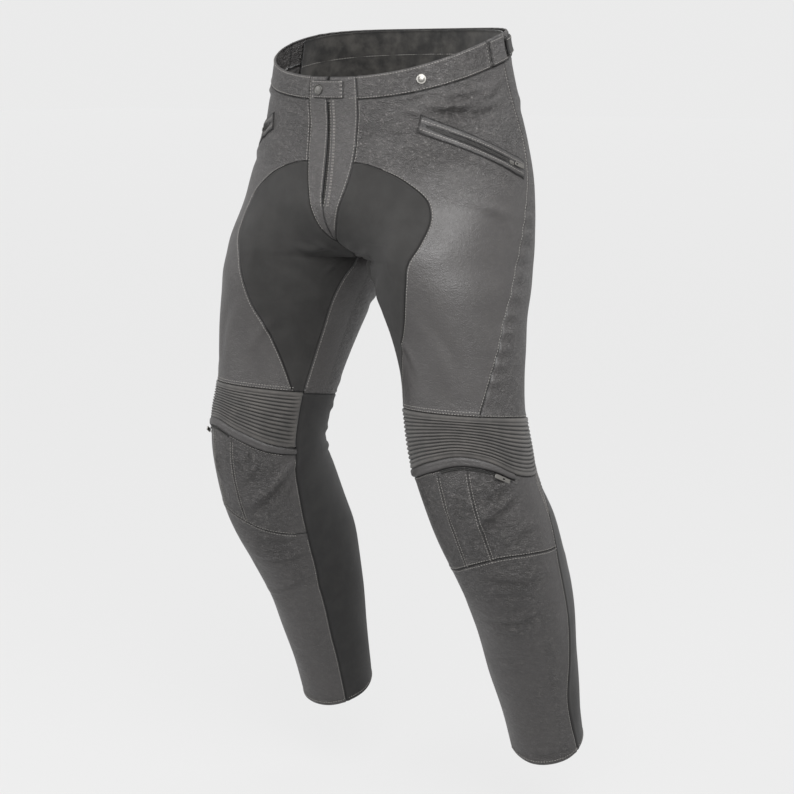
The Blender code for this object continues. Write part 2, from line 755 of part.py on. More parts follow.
def make_knee_zips(tape, steel):
    """A short zip under each arch, its slider at the outer end."""

    def below(angle):
        return arch_bottom(angle) + KNEE_ZIP_BELOW

    def rows(share, angle):
        return below(angle) + (share - 0.5) * TAPE_WIDE

    start, end = KNEE_ZIP
    strip = lattice((level(start), level(end)), (6,), (0, 1), rows)
    pair("knee_zip", strip, tape, wall=TAPE_THICK, base=LAID_GAP + TAPE_THICK)
    angle, ahead = KNEE_SLIDER_ANGLE, KNEE_SLIDER_ANGLE - KNEE_PULL_TURN
    spot = Spot(angle, below(angle), toward=(ahead, below(ahead)))
    zip_slider("knee", spot, 2 * LAID_GAP + TAPE_THICK, steel)


def make_front_fastening(leather, steel):
    """The tab over the fly with its snap, and the stud on the waistband."""
    tab = front_piece(level(TAB_RIGHT), level(TAB_LEFT), 6, TAB_ROWS)
    tab.solid("centre_tab", leather, wall=TAB_THICK, base=LAID_GAP + TAB_THICK)
    spot = Spot(0, SNAP_DROP, None, x=SNAP_X)
    low = 2 * LAID_GAP + TAB_THICK
    plate("snap", spot, circle(SNAP_RADIUS), low, low + SNAP_THICK, steel)
    spot = Spot(STUD_ANGLE, STUD_DROP, toward=(STUD_ANGLE + 5, STUD_DROP))
    plate("stud_left", spot, circle(STUD_RADIUS), LAID_GAP, LAID_GAP + STUD_THICK, steel)


def make_fly(leather, tape):
    """The shield over the fly, slit down its middle, and the zip behind the slit."""
    rows = sorted({*BAND_ROWS, *rows_between(WAIST_SEAM, SHIELD_TIP)})

    def left_edge(drop):
        return slit_centre(drop) + slit_half(drop)

    def right_edge(drop):
        return slit_centre(drop) - slit_half(drop)

    def right_side(drop):
        return -shield_half(drop)

    front_piece(left_edge, shield_half, 5, rows).solid("fly_left", leather)
    front_piece(right_side, right_edge, 4, rows).solid("fly_right", leather)

    def tape_start(drop):
        return slit_centre(drop) - FLY_TAPE_HALF

    def tape_end(drop):
        return slit_centre(drop) + FLY_TAPE_HALF

    behind = -WALL - 2 * LAID_GAP
    strip = front_piece(tape_start, tape_end, 2, FLY_ZIP_ROWS)
    strip.solid("fly_zip", tape, wall=FLY_TAPE_THICK, base=behind)


def main():
    for thing in list(bpy.data.objects):
        bpy.data.objects.remove(thing, do_unlink=True)
    leather = make_material("cowhide_leather", LEATHER, 0.5)
    stretch = make_material("stretch_fabric", STRETCH, 0.85)
    facing = make_material("facing_cloth", FACING, 0.9)
    tape = make_material("zip_tape", TAPE, 0.8)
    steel = make_material("nickelled_brass", STEEL, 0.3, 1.0)
    make_thighs(leather, stretch)
    make_knees(leather, stretch)
    make_shins(leather, stretch)
    make_fly(leather, tape)
    make_waist(leather, stretch, facing)
    make_front_fastening(leather, steel)
    make_pockets(leather, tape, steel)
    make_knee_zips(tape, steel)


main()
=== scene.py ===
# %% [markdown]
# # Leather riding trousers, shown as worn
# A pair of riding trousers is sewn from leather panels, with stretch cloth where the
# body bends. This lesson dresses the plain CAD walls: every panel becomes a fine shell
# with its own folds, seams, stitches and grain, on exactly the same form.

# %% Load the fixed frame
import math

import bmesh
import bpy
import numpy as np
from mathutils import Matrix, Vector


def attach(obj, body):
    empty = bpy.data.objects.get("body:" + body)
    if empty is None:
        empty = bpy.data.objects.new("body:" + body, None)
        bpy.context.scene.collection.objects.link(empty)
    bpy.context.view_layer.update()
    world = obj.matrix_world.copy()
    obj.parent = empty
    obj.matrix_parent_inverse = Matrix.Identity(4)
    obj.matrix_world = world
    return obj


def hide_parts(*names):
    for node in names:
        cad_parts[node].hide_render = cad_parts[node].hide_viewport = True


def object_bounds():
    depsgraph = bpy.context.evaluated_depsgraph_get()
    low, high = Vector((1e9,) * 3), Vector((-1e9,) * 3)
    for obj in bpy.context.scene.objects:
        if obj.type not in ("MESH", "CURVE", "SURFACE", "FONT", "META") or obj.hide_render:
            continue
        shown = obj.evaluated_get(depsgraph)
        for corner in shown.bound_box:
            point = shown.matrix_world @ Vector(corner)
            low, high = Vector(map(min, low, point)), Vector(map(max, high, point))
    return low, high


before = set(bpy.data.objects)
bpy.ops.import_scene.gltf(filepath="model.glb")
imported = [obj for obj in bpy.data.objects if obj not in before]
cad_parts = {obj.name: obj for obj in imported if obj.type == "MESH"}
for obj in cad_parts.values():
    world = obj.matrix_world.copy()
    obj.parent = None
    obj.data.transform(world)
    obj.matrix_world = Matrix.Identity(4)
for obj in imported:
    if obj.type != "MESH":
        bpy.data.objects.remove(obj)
cad_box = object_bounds()
scene = bpy.context.scene
MM = 0.001

# %% [markdown]
# ## Camera, light and floor
# The photograph was taken a little from the wearer's left and from just above, with a
# long lens. A camera is easiest to set from its turn, its height angle and its distance:
# the three directions right, up and back make its matrix.

# %% Camera
CAMERA_TURN, CAMERA_RISE = math.radians(35.0), math.radians(11.5)
CAMERA_DISTANCE = 2.1
CAMERA_AIM = Vector((0.008, 0.006, -0.433))
LENS, SENSOR = 73.3, 36.0

right = Vector((math.cos(CAMERA_TURN), math.sin(CAMERA_TURN), 0.0))
back = Vector((
    math.sin(CAMERA_TURN) * math.cos(CAMERA_RISE),
    -math.cos(CAMERA_TURN) * math.cos(CAMERA_RISE),
    math.sin(CAMERA_RISE),
))
up = back.cross(right)
camera_data = bpy.data.cameras.new("camera")
camera_data.lens = LENS
camera_data.sensor_width = SENSOR
camera = bpy.data.objects.new("camera", camera_data)
camera.matrix_world = Matrix.Translation(CAMERA_AIM + back * CAMERA_DISTANCE) @ (
    Matrix((right, up, back)).transposed().to_4x4()
)
scene.collection.objects.link(camera)
scene.camera = camera
print("camera at", [round(v, 3) for v in camera.matrix_world.translation])

# %% [markdown]
# Colours are written as the sRGB hex values of a paint chart. Shaders want linear light,
# so one function turns them. Another adds a node with its settings and its links, which
# keeps every material below short.

# %% Colour and node helpers


def linear(hex_colour):
    """An sRGB hex colour as linear RGBA."""
    parts = [int(hex_colour[k:k + 2], 16) / 255 for k in (1, 3, 5)]
    return (*[c / 12.92 if c <= 0.04045 else ((c + 0.055) / 1.055) ** 2.4 for c in parts], 1.0)


def add(tree, kind, inputs=None, **settings):
    """Adds a node, sets it, and fills its sockets with values or links."""
    node = tree.nodes.new(kind)
    for name, value in settings.items():
        setattr(node, name, value)
    for name, value in (inputs or {}).items():
        if isinstance(value, bpy.types.NodeSocket):
            tree.links.new(value, node.inputs[name])
        else:
            node.inputs[name].default_value = value
    return node


def maths(tree, operation, *values):
    """The result of a maths node."""
    return add(tree, "ShaderNodeMath", dict(enumerate(values)), operation=operation).outputs[0]


def ranged(tree, value, start=(0.0, 1.0), end=(0.0, 1.0), **settings):
    """A value taken from one range to another."""
    limits = dict(zip(("From Min", "From Max", "To Min", "To Max"), (*start, *end)))
    return add(tree, "ShaderNodeMapRange", {"Value": value, **limits}, **settings).outputs[0]


def noise(tree, place, size, detail, **more):
    """Noise with spots of about a size in metres."""
    inputs = {"Vector": place, "Scale": 1 / size, "Detail": detail, **more}
    return add(tree, "ShaderNodeTexNoise", inputs).outputs["Fac"]


def blend(tree, factor, first, second):
    """Two colours mixed."""
    inputs = {"Factor": factor, "A": first, "B": second}
    return add(tree, "ShaderNodeMix", inputs, data_type="RGBA").outputs["Result"]


print("leather black in linear light:", [round(c, 3) for c in linear("#3b3a3b")])

# %% [markdown]
# The light is a pale room with one large soft lamp in front, to the wearer's left, a
# weaker one on the other side and one behind for the edges. A wide lamp gives the
# leather the broad, soft shine of the photograph, with no hard spots. The camera sees a
# paler room and floor than the ones that light the leather, which would look flat in them.

# %% Light and floor
ROOM = "#f1f1f1"
ROOM_SEEN, ROOM_LIGHT = 0.94, 0.74
# name: turn, rise, distance, size, watts
LAMPS = {
    "key": (46.0, 40.0, 1.75, 1.5, 38.0),
    "fill": (-42.0, 16.0, 2.2, 1.4, 19.0),
    "rim": (160.0, 50.0, 2.4, 1.2, 8.0),
}
FLOOR_DROP = 0.12
FLOOR_SEEN, FLOOR_LIGHT = 0.838, 0.66
LIT_PLACE = Vector((0.0, 0.0, -0.30))

world = bpy.data.worlds.new("pale_room")
scene.world = world
world.use_nodes = True
world.node_tree.nodes["Background"].inputs["Color"].default_value = linear(ROOM)


def seen_or_light(tree, seen, light, socket):
    """One strength for what the camera sees and another for what lights the object."""
    ray = add(tree, "ShaderNodeLightPath").outputs["Is Camera Ray"]
    strength = ranged(tree, ray, (0.0, 1.0), (light, seen))
    tree.links.new(strength, socket)


seen_or_light(
    world.node_tree, ROOM_SEEN, ROOM_LIGHT, world.node_tree.nodes["Background"].inputs["Strength"],
)
scene.view_settings.view_transform = "Standard"
for name, (turn, rise, distance, size, watts) in LAMPS.items():
    lamp_data = bpy.data.lights.new(name, "AREA")
    lamp_data.shape = "DISK"
    lamp_data.size = size
    lamp_data.energy = watts
    lamp = bpy.data.objects.new(name, lamp_data)
    turn, rise = math.radians(turn), math.radians(rise)
    way = Vector((math.sin(turn) * math.cos(rise), -math.cos(turn) * math.cos(rise), math.sin(rise)))
    lamp.matrix_world = Matrix.Translation(LIT_PLACE + way * distance) @ (
        way.to_track_quat("Z", "Y").to_matrix().to_4x4()
    )
    scene.collection.objects.link(lamp)

floor_mesh = bpy.data.meshes.new("floor")
floor_level = cad_box[0][2] - FLOOR_DROP
half = 30.0
floor_mesh.from_pydata(
    [
        (-half, -half, floor_level), (half, -half, floor_level), (half, half, floor_level),
        (-half, half, floor_level),
    ],
    [], [(0, 1, 2, 3)],
)
floor = bpy.data.objects.new("floor", floor_mesh)
scene.collection.objects.link(floor)
plaster = bpy.data.materials.new("pale_painted_floor")
plaster.use_nodes = True
plaster_shader = plaster.node_tree.nodes["Principled BSDF"]
plaster_shader.inputs["Roughness"].default_value = 0.95
plaster_shader.inputs["Base Color"].default_value = linear("#4a4a4a")
plaster_shader.inputs["Emission Color"].default_value = linear(ROOM)
seen_or_light(
    plaster.node_tree, FLOOR_SEEN, FLOOR_LIGHT, plaster_shader.inputs["Emission Strength"],
)
floor_mesh.materials.append(plaster)
print("floor at", round(floor_level, 3))

# %% [markdown]
# ## The form under the cloth
# Every panel lies on one smooth form per leg. The same named sections as in the CAD
# source make it here: a point is found from the angle round the leg (0 on the inner
# side, 90 in front, 180 outside, 270 behind) and the drop below the waist line.

# %% Sizes of the form
CROTCH, RISE_TOP, INSEAM_START = 248.0, 165.0, 238.0
SQUARENESS, CROTCH_POINT, CROTCH_POINT_FADE = 2.3, 0.55, 80.0
CLEFT = 8.0
MIDDLE_STRIP, MIDDLE_FADE = 20.0, 26.0
BACK, JUST = 360.0, 0.0001

# drop, centre_x, centre_y, half_width, half_depth, skew, tilt, dish
SECTIONS = (
    (-20, 74.0, 0, 74.0, 121, 0, 14.5, -14),
    (12, 77.5, 1, 77.5, 122, 0, 14, -10),
    (45, 81.0, 3, 81.0, 122, 0, 12, -5),
    (75, 84.5, 4, 84.5, 124, 0, 9, -2),
    (110, 90.0, 4, 90.0, 127, 0, 5, 0),
    (150, 95.5, 0, 95.5, 130, 0, 2, 0),
    (190, 99.0, -8, 99.0, 131, 0, 0, 0),
    (222, 100.5, -17, 100.5, 129, 0, -2, 0),
    (248, 101.5, -23, 101.5, 125, -2, -4, 0),
    (275, 112.0, -30, 96.5, 115, -5, -5, 0),
    (305, 121.0, -35, 90.5, 104, -8, -6, 0),
    (340, 131.0, -38, 85.0, 93, -10, -6, 0),
    (380, 139.0, -42, 79.0, 85, -10, -6, 0),
    (420, 145.5, -47, 76.5, 79, -5, -5, 0),
    (460, 154.5, -51, 76.5, 77, -3, -2, 0),
    (500, 162.5, -49, 75.0, 76, -3, 6, 0),
    (540, 169.0, -33, 75.0, 76.5, -4, 18, 0),
    (580, 173.5, -11, 75.5, 78, -6, 25, 0),
    (620, 175.0, 12, 74.0, 77, -8, 26, 0),
    (660, 175.0, 35, 71.5, 74, -8, 24, 0),
    (700, 175.0, 53, 68.5, 69, -6, 21, 0),
    (740, 174.5, 68, 65.0, 64, -4, 19, 0),
    (780, 174.5, 81, 61.0, 60, -3, 18, 0),
    (820, 175.0, 94, 57.0, 56, -3, 19, 0),
    (860, 176.0, 106, 53.0, 52.5, -3, 20, 0),
    (905, 177.5, 119, 50.0, 50, -3, 21, 0),
)

# Seams that run down the leg: drop, angle
SIDE_SEAM = (
    (12, 190), (130, 193), (182, 186), (250, 180), (284, 175),
    (320, 167), (354, 159), (390, 149), (425, 137),
)
STRETCH_SEAM = (
    (115, 62), (122, 75), (130, 86), (145, 99), (162, 109), (180, 113), (212, 112),
    (248, 105), (274, 98), (318, 84), (344, 71), (380, 56), (425, 38),
)
INSEAM = (
    (238, 0), (243, 13), (248, 26), (258, 24), (274, 24), (396, 26), (422, 27),
    (500, 24), (560, 30), (640, 40), (700, 45), (790, 45), (905, 41),
)
OUTER_SEAM = (
    (500, 201), (560, 199), (566, 198), (596, 191), (640, 185), (700, 182),
    (760, 175), (820, 166), (850, 168), (905, 176),
)
GUSSET_BACK = ((425, 235), (500, 235), (530, 217), (560, 202), (566, 198))
KNEE_DART_IN, KNEE_DART_OUT, ARCH_END = 91.0, 120.0, 166.0
RIBS_END, GUSSET_TIP, KNEE_LINE = 500.0, 566.0, 422.0

# Seams that run round the leg: angle, drop
KNEE_TOP_SEAM = ((20, 426), (90, 422), (160, 423), (235, 431), (300, 435), (390, 427))
ARCH_TOP = (
    (20, 498), (51, 487), (84, 473), (117, 464), (142, 470), (166, 486), (201, 500), (240, 500),
)
ARCH_HEIGHT = ((20, 7), (40, 8.5), (117, 9.5), (150, 8.5), (166, 7))
KNEE_LOW_SEAM = (
    (20, 618), (45, 607), (70, 591), (96, 575), (128, 568), (156, 576), (191, 597), (210, 603),
)

# The shield over the fly: drop, half width. The slit: drop, centre, half width.
SHIELD = (
    (-20, 55), (12, 56), (56, 52), (115, 47), (145, 40),
    (162, 34), (180, 27), (198, 19), (212, 11), (224, 0),
)
SLIT = (
    (-20, -9.5, 3.2), (30, -9.5, 3.2), (150, -4.5, 3.2), (162, -4, 3),
    (180, -3, 0), (198, -1.5, 0), (212, 0, 0), (224, 0, 0),
)
SHIELD_TIP, STRETCH_TOP = 224.0, 115.0
WAIST_TOP, WAIST_SEAM, HEM = -20.0, 12.0, 905.0
BAND_SEAM = 176.0
print(len(SECTIONS), "sections from the rim to the hem")

# %% Curves through the tables


def smooth_table(rows):
    """A smooth curve through a table's rows, read at any value of its first column."""
    table = np.array(rows, float)
    at, values = table[:, 0], table[:, 1:]
    step = np.diff(at)[:, None]
    slope = np.diff(values, axis=0) / step
    inner = (slope[:-1] * step[1:] + slope[1:] * step[:-1]) / (step[:-1] + step[1:])
    slopes = np.vstack([slope[:1], inner, slope[-1:]])

    def read(value):
        value = np.clip(np.asarray(value, float), at[0], at[-1])
        i = np.clip(np.searchsorted(at, value, side="right") - 1, 0, len(at) - 2)
        width = (at[i + 1] - at[i])[..., None]
        t = (value - at[i])[..., None] / width
        ahead = t * t * (3 - 2 * t)
        return (
            (1 - ahead) * values[i]
            + ahead * values[i + 1]
            + t * (1 - t) ** 2 * width * slopes[i]
            - t * t * (1 - t) * width * slopes[i + 1]
        )

    return read


def line_table(rows):
    """Straight lines through a table's rows."""
    table = np.array(rows, float)
    return lambda value: np.interp(value, table[:, 0], table[:, 1])


def smooth_line(rows):
    """A smooth curve through a table of two columns."""
    read = smooth_table(rows)
    return lambda value: read(value)[..., 0]


sections = smooth_table(SECTIONS)
side_seam = smooth_line(SIDE_SEAM)
stretch_seam = smooth_line(STRETCH_SEAM)
inseam = line_table(INSEAM)
outer_seam = smooth_line(OUTER_SEAM)
gusset_back = smooth_line(GUSSET_BACK)
knee_top_seam = smooth_line(KNEE_TOP_SEAM)
arch_curve = smooth_line(ARCH_TOP)
arch_height = smooth_line(ARCH_HEIGHT)
knee_low_seam = smooth_line(KNEE_LOW_SEAM)
shield_half = smooth_line(SHIELD)
slit_centre = line_table([row[:2] for row in SLIT])
slit_half = line_table([(row[0], row[2]) for row in SLIT])


def level(value):
    """A seam that stays at one value."""
    return lambda other: np.full(np.shape(other), float(value))


print("side seam at the hip:", round(float(side_seam(130)), 1), "degrees")

# %% The form itself


def form(angle, drop):
    """Points of the wearer's left half, in mm."""
    angle, drop = np.broadcast_arrays(np.asarray(angle, float), np.asarray(drop, float))
    centre_x, centre_y, half_width, half_depth, skew, tilt, dish = np.moveaxis(
        sections(drop), -1, 0,
    )
    turn = np.radians(angle)
    across = (1 - np.cos(turn)) / 2
    forward = np.where(np.sin(turn) >= 0, 1.0, -1.0)
    point = CROTCH_POINT * np.clip(1 - (drop - CROTCH) / CROTCH_POINT_FADE, 0, 1) ** 2
    point = np.where(drop < CROTCH, CROTCH_POINT, point)
    round_leg = np.sqrt(np.clip(4 * across * (1 - across), 0, 1))
    pointed_leg = np.where(across < 0.5, (2 * across) ** 0.9, round_leg)
    leg = (1 - point) * round_leg + point * pointed_leg
    hips = np.clip(1 - across**SQUARENESS, 0, 1) ** (1 / SQUARENESS)
    above = np.clip((CROTCH - drop) / (CROTCH - RISE_TOP), 0, 1)
    cleft = np.sqrt(above * (2 - above))
    gradual = above * above * (3 - 2 * above)
    near = np.clip(1 - 2 * across, 0, 1)
    opened = near * cleft + (1 - near) * gradual
    depth = leg + opened * (hips - leg)
    lean = np.radians(tilt)
    x = centre_x + half_width * (2 * across - 1)
    rear = skew * (2 * across - 1) - forward * half_depth * depth
    z = rear * np.sin(lean) + dish * (rear / half_depth) ** 2 - drop
    return np.stack([x, centre_y + rear * np.cos(lean), z], -1)


def outward(angle, drop):
    """Unit normals of the form, pointing out of the garment."""
    angle, drop = np.broadcast_arrays(np.asarray(angle, float), np.asarray(drop, float))
    beside = np.clip(np.mod(angle, 360), CLEFT, 360 - CLEFT)
    angle = np.where(drop < CROTCH, beside, angle)
    around = form(angle + 0.5, drop) - form(angle - 0.5, drop)
    down = form(angle, drop + 1.0) - form(angle, drop - 1.0)
    normal = np.cross(down, around)
    normal /= np.linalg.norm(normal, axis=-1, keepdims=True)
    aside = np.clip(form(angle, drop)[..., 0] / MIDDLE_STRIP, 0, 1)
    above = np.clip((CROTCH + MIDDLE_FADE - drop) / MIDDLE_FADE, 0, 1)
    normal[..., 0] *= 1 - above * (1 - aside)
    return normal / np.linalg.norm(normal, axis=-1, keepdims=True)


def angle_at(x, drop):
    """The angle at which the front of the hips is x mm from the middle."""
    half_width = sections(drop)[..., 3]
    return np.degrees(np.arccos(np.clip(1 - np.abs(x) / half_width, -1, 1)))


def degree_mm(angle, drop):
    """Millimetres of cloth for one degree round the form."""
    return np.linalg.norm(form(angle + 0.5, drop) - form(angle - 0.5, drop), axis=-1)


def shield_angle(drop):
    """The edge of the shield, as an angle."""
    return angle_at(shield_half(drop), drop)


def arch_top(angle):
    """The seam between the ribs and the arch, level once it is past the arch."""
    return np.minimum(arch_curve(angle), RIBS_END)


def arch_bottom(angle):
    """The seam under the arch, and past its end the seam under the ribs."""
    inside = np.clip((ARCH_END + 0.5 - angle) / 0.5, 0, 1)
    return arch_top(angle) + inside * arch_height(angle)


print("knee girth:", round(float(sum(degree_mm(np.arange(360.0), 460.0)))), "mm")

# %% [markdown]
# ## Folds
# Worn leather keeps the folds of the body's bends. A cloth simulation of tight, curved
# trousers gives folds wherever it likes, so here each fold is listed one by one: a line on
# the form, a height and a width. A fold is a soft ridge with a shallow trough on its
# lower side, and dies away at both ends. The folds that the photograph can't show, at
# the seat and behind the knees, follow the same kinds.

# %% Folds, listed one by one
# side ("left", "right" or "both"), height, half width, then (angle, drop) along it
FOLDS = (
    ("left", 2.6, 5.0, (114, 30), (127, 37), (139, 43), (153, 49), (168, 51), (181, 50)),
    ("left", 1.8, 4.0, (128, 27), (137, 26), (149, 29), (161, 30), (176, 34)),
    ("left", 2.0, 4.5, (182, 24), (172, 38), (158, 42)),
    ("left", 1.3, 3.5, (104, 22), (109, 17), (117, 15)),
    ("left", 1.2, 4.0, (96, 34), (108, 40), (122, 50)),
    ("left", -1.6, 5.0, (112, 40), (140, 55), (170, 62)),
    ("both", 1.4, 7.0, (118, 92), (150, 118), (178, 142)),
    ("left", 1.2, 6.0, (130, 160), (160, 178), (180, 190)),
    ("right", 1.8, 4.5, (150, 26), (130, 20), (107, 14), (92, 16)),
    ("right", 1.6, 5.0, (121, 56), (128, 74), (130, 94)),
    ("both", 2.4, 4.5, (64, 233), (55, 239), (38, 234), (24, 241)),
    ("both", 2.0, 4.0, (40, 272), (39, 262), (33, 252)),
    ("both", 1.2, 3.5, (54, 225), (39, 230), (26, 236)),
    ("both", -1.4, 7.0, (24, 300), (50, 275), (75, 255)),
    ("left", 2.2, 4.0, (34, 243), (46, 247), (41, 262), (43, 278)),
    ("both", 1.1, 7.0, (60, 330), (75, 350), (84, 380)),
    ("both", -1.0, 9.0, (100, 300), (118, 345), (122, 395)),
    ("left", 3.2, 5.5, (167, 503), (152, 510), (136, 518), (122, 526), (112, 538)),
    ("left", 2.0, 4.5, (163, 493), (146, 496), (130, 503)),
    ("left", 1.8, 5.5, (178, 547), (157, 546), (140, 549)),
    ("left", 1.6, 4.5, (99, 498), (98, 516), (90, 536)),
    ("left", 1.2, 4.0, (60, 500), (72, 516), (80, 540)),
    ("right", 3.6, 5.0, (22, 509), (32, 517), (50, 533), (70, 549), (84, 556)),
    ("right", 2.2, 4.5, (27, 521), (37, 535), (48, 556)),
    ("right", 1.8, 5.0, (73, 492), (78, 506), (72, 522)),
    ("right", 1.4, 5.0, (110, 500), (118, 516), (112, 540)),
    ("left", 2.0, 5.0, (92, 582), (113, 586), (132, 595), (154, 604), (176, 610)),
    ("left", 1.4, 5.0, (104, 606), (126, 612), (146, 614)),
    ("left", 1.7, 5.5, (80, 654), (104, 658), (125, 658), (149, 652)),
    ("left", 1.3, 5.0, (87, 678), (107, 681), (124, 685)),
    ("left", 1.0, 6.0, (80, 744), (105, 746), (128, 752)),
    ("left", 1.0, 5.0, (96, 880), (119, 883), (143, 881)),
    ("right", 1.6, 4.0, (97, 600), (73, 603), (46, 610)),
    ("right", 2.0, 5.0, (106, 634), (86, 636), (68, 639), (44, 636)),
    ("right", 1.7, 5.0, (104, 700), (83, 691), (59, 678)),
    ("right", 1.2, 5.0, (131, 716), (90, 706), (71, 699)),
    ("right", 1.0, 6.0, (60, 800), (84, 808), (110, 806)),
    ("both", 1.5, 3.0, (158, -19), (160, -8), (158, 6)),
    ("both", 1.5, 3.0, (163, -19), (165, -6), (164, 8)),
    ("both", 1.3, 3.0, (168, -18), (169, -4), (168, 8)),
    ("both", 1.3, 3.0, (228, -19), (230, -5), (228, 8)),
    ("both", 1.3, 3.0, (236, -19), (238, -5), (236, 8)),
    ("left", 1.7, 4.5, (118, 36), (142, 42), (168, 34)),
    ("left", 1.3, 4.0, (124, 52), (148, 58), (172, 50)),
    ("left", 1.0, 4.0, (82, 60), (100, 66), (116, 62)),
    ("left", 1.0, 6.0, (150, 172), (166, 190), (174, 214)),
    ("left", 1.1, 4.0, (132, 512), (120, 530), (112, 552)),
    ("left", 1.0, 3.5, (88, 512), (98, 528), (104, 548)),
    ("left", 1.2, 4.0, (112, 508), (130, 522), (150, 536)),
    ("left", 1.0, 4.0, (90, 628), (115, 634), (138, 636)),
    ("right", 1.2, 4.0, (60, 505), (74, 520), (92, 532)),
    ("both", 1.8, 6.5, (345, 262), (315, 272), (285, 268), (255, 262)),
    ("both", 1.5, 6.5, (350, 285), (325, 300), (300, 306)),
    ("both", 1.4, 8.0, (345, 205), (310, 222), (275, 226)),
    ("both", 1.2, 7.0, (205, 60), (230, 66), (262, 62)),
    ("both", 1.0, 7.0, (255, 120), (285, 140), (320, 150)),
    ("both", 2.4, 5.5, (228, 452), (262, 460), (300, 458), (335, 450)),
    ("both", 2.6, 5.5, (222, 486), (258, 497), (296, 496), (338, 484)),
    ("both", 2.0, 5.5, (232, 524), (265, 533), (305, 530), (345, 516)),
    ("both", 1.5, 5.5, (240, 424), (270, 416), (305, 414), (335, 420)),
    ("both", 1.4, 6.5, (236, 560), (270, 570), (310, 566)),
    ("left", 1.0, 8.0, (220, 640), (255, 655), (290, 660)),
    ("right", 1.0, 8.0, (235, 655), (268, 664), (300, 660)),
    ("both", 1.0, 7.0, (225, 850), (262, 858), (300, 852)),
)
FOLD_POINTS = 14
TROUGH_SHARE, TROUGH_SHIFT = 0.55, 1.7
# Small gathers along the side seam and the slow unevenness of all the leather, mm
GATHER_HEIGHT, GATHER_PITCH, GATHER_REACH = 1.7, 21.0, 15.0
FOLD_STRENGTH = 1.45
UNEVEN_HEIGHT = 0.35


def fold_height(angle, drop, height, width, line):
    """Height of one fold at each point, in mm."""
    nodes = np.array(line, float)
    at = np.linspace(0, 1, len(nodes))
    path = smooth_table(np.column_stack([at, nodes]))(np.linspace(0, 1, FOLD_POINTS))
    middle = path.mean(axis=0)
    scale = float(degree_mm(middle[0], middle[1]))
    turned = np.mod(angle - middle[0] + 180, 360) - 180
    result = np.zeros(np.broadcast(angle, drop).shape)
    reach = 4 * width
    low, high = path[:, 1].min() - reach, path[:, 1].max() + reach
    wide = np.abs(path[:, 0] - middle[0]).max() * scale + reach
    near = (drop > low) & (drop < high) & (np.abs(turned * scale) < wide)
    if not near.any():
        return result
    place = np.stack([turned[near] * scale, drop[near]], -1)
    line_mm = np.stack([(path[:, 0] - middle[0]) * scale, path[:, 1]], -1)
    best = np.full(len(place), 1e9)
    share = np.zeros(len(place))
    sign = np.ones(len(place))
    for k, (start, end) in enumerate(zip(line_mm, line_mm[1:])):
        along = end - start
        t = np.clip(((place - start) @ along) / max(along @ along, 1e-9), 0, 1)
        gap = place - (start + t[:, None] * along)
        distance = np.linalg.norm(gap, axis=1)
        closer = distance < best
        best[closer] = distance[closer]
        share[closer] = (k + t[closer]) / (FOLD_POINTS - 1)
        sign[closer] = np.where(gap[closer, 1] > 0, 1.0, -1.0)
    signed = best * sign / width
    taper = np.sin(np.pi * np.clip(share, 0.02, 0.98)) ** 0.8
    ridge = np.exp(-(signed**2)) - TROUGH_SHARE * np.exp(-((signed - TROUGH_SHIFT) ** 2))
    result[near] = FOLD_STRENGTH * height * taper * ridge
    return result


def relief(angle, drop, side):
    """Height of all the folds over the form on one side, in mm."""
    angle, drop = np.broadcast_arrays(np.asarray(angle, float), np.asarray(drop, float))
    total = np.zeros(angle.shape)
    for where, height, width, *line in FOLDS:
        if where in (side, "both"):
            total += fold_height(angle, drop, height, width, line)
    # Both sides of the body share a fold unevenly
    sway = 0.5 if side == "left" else 2.1
    around = np.radians(angle)
    slow = np.sin(drop / 31 + 2 * np.cos(around) + sway) + np.sin(drop / 17 + 3 * around * 2 + 2 * sway)
    total += UNEVEN_HEIGHT * slow * np.clip((drop - 20) / 40, 0, 1)
    beside = (np.mod(angle, 360) - side_seam(drop) - 7) * 1.9
    along = np.clip((drop - 150) / 40, 0, 1) * np.clip((415 - drop) / 30, 0, 1)
    gathers = np.sin(2 * np.pi * drop / GATHER_PITCH + 0.9 * np.sin(drop / 29 + sway))
    total += GATHER_HEIGHT * gathers * along * np.exp(-((beside / GATHER_REACH) ** 2))
    # The folds die out at the middle of the body, where both sides meet
    x = form(angle, drop)[..., 0]
    return total * np.clip((x - 1.0) / 12, 0, 1)


trial = relief(np.arange(0, 360, 2.0)[None, :], np.arange(12, 905, 4.0)[:, None], "left")
print(
    len(FOLDS), "folds, from", round(float(trial.min()), 1), "to", round(float(trial.max()), 1),
    "mm",
)

# %% [markdown]
# ## From a lattice to a shell
# A panel is a lattice between its two seams. Its rows and columns stand closer at the
# edges, where the leather turns down into the seam: first a small roll, where the
# allowance is folded under, then the dip to the stitches. Solidify then gives the sheet
# its thickness. Two attributes travel with each point, for the materials: how close the
# seam is, and how coarse the grain is there. Ribs add a third, how deep a valley is.

# %% Lattices with rolled edges
STEP = 3.0
EDGE_STEPS = (0.0, 0.8, 1.8, 3.2, 5.0)
SEAM_DIP, DIP_REACH = 1.2, 1.1
ROLL, ROLL_AT, ROLL_WIDTH = 0.6, 3.2, 2.0
SEAM_SHADE = 1.1
# A dart is sewn flat: it dips less than a seam
DART_SHARE = 0.4
MERGE = 0.00002


def spread(length, step=STEP):
    """Shares of a length, closer together at both ends."""
    edge = [s for s in EDGE_STEPS if s < length / 2.2]
    inner = length - 2 * edge[-1]
    count = max(1, round(inner / step))
    middle = edge[-1] + np.linspace(0, 1, count + 1) * inner
    ends = np.array(edge[:-1])
    return np.concatenate([ends, middle, (length - ends)[::-1]]) / length


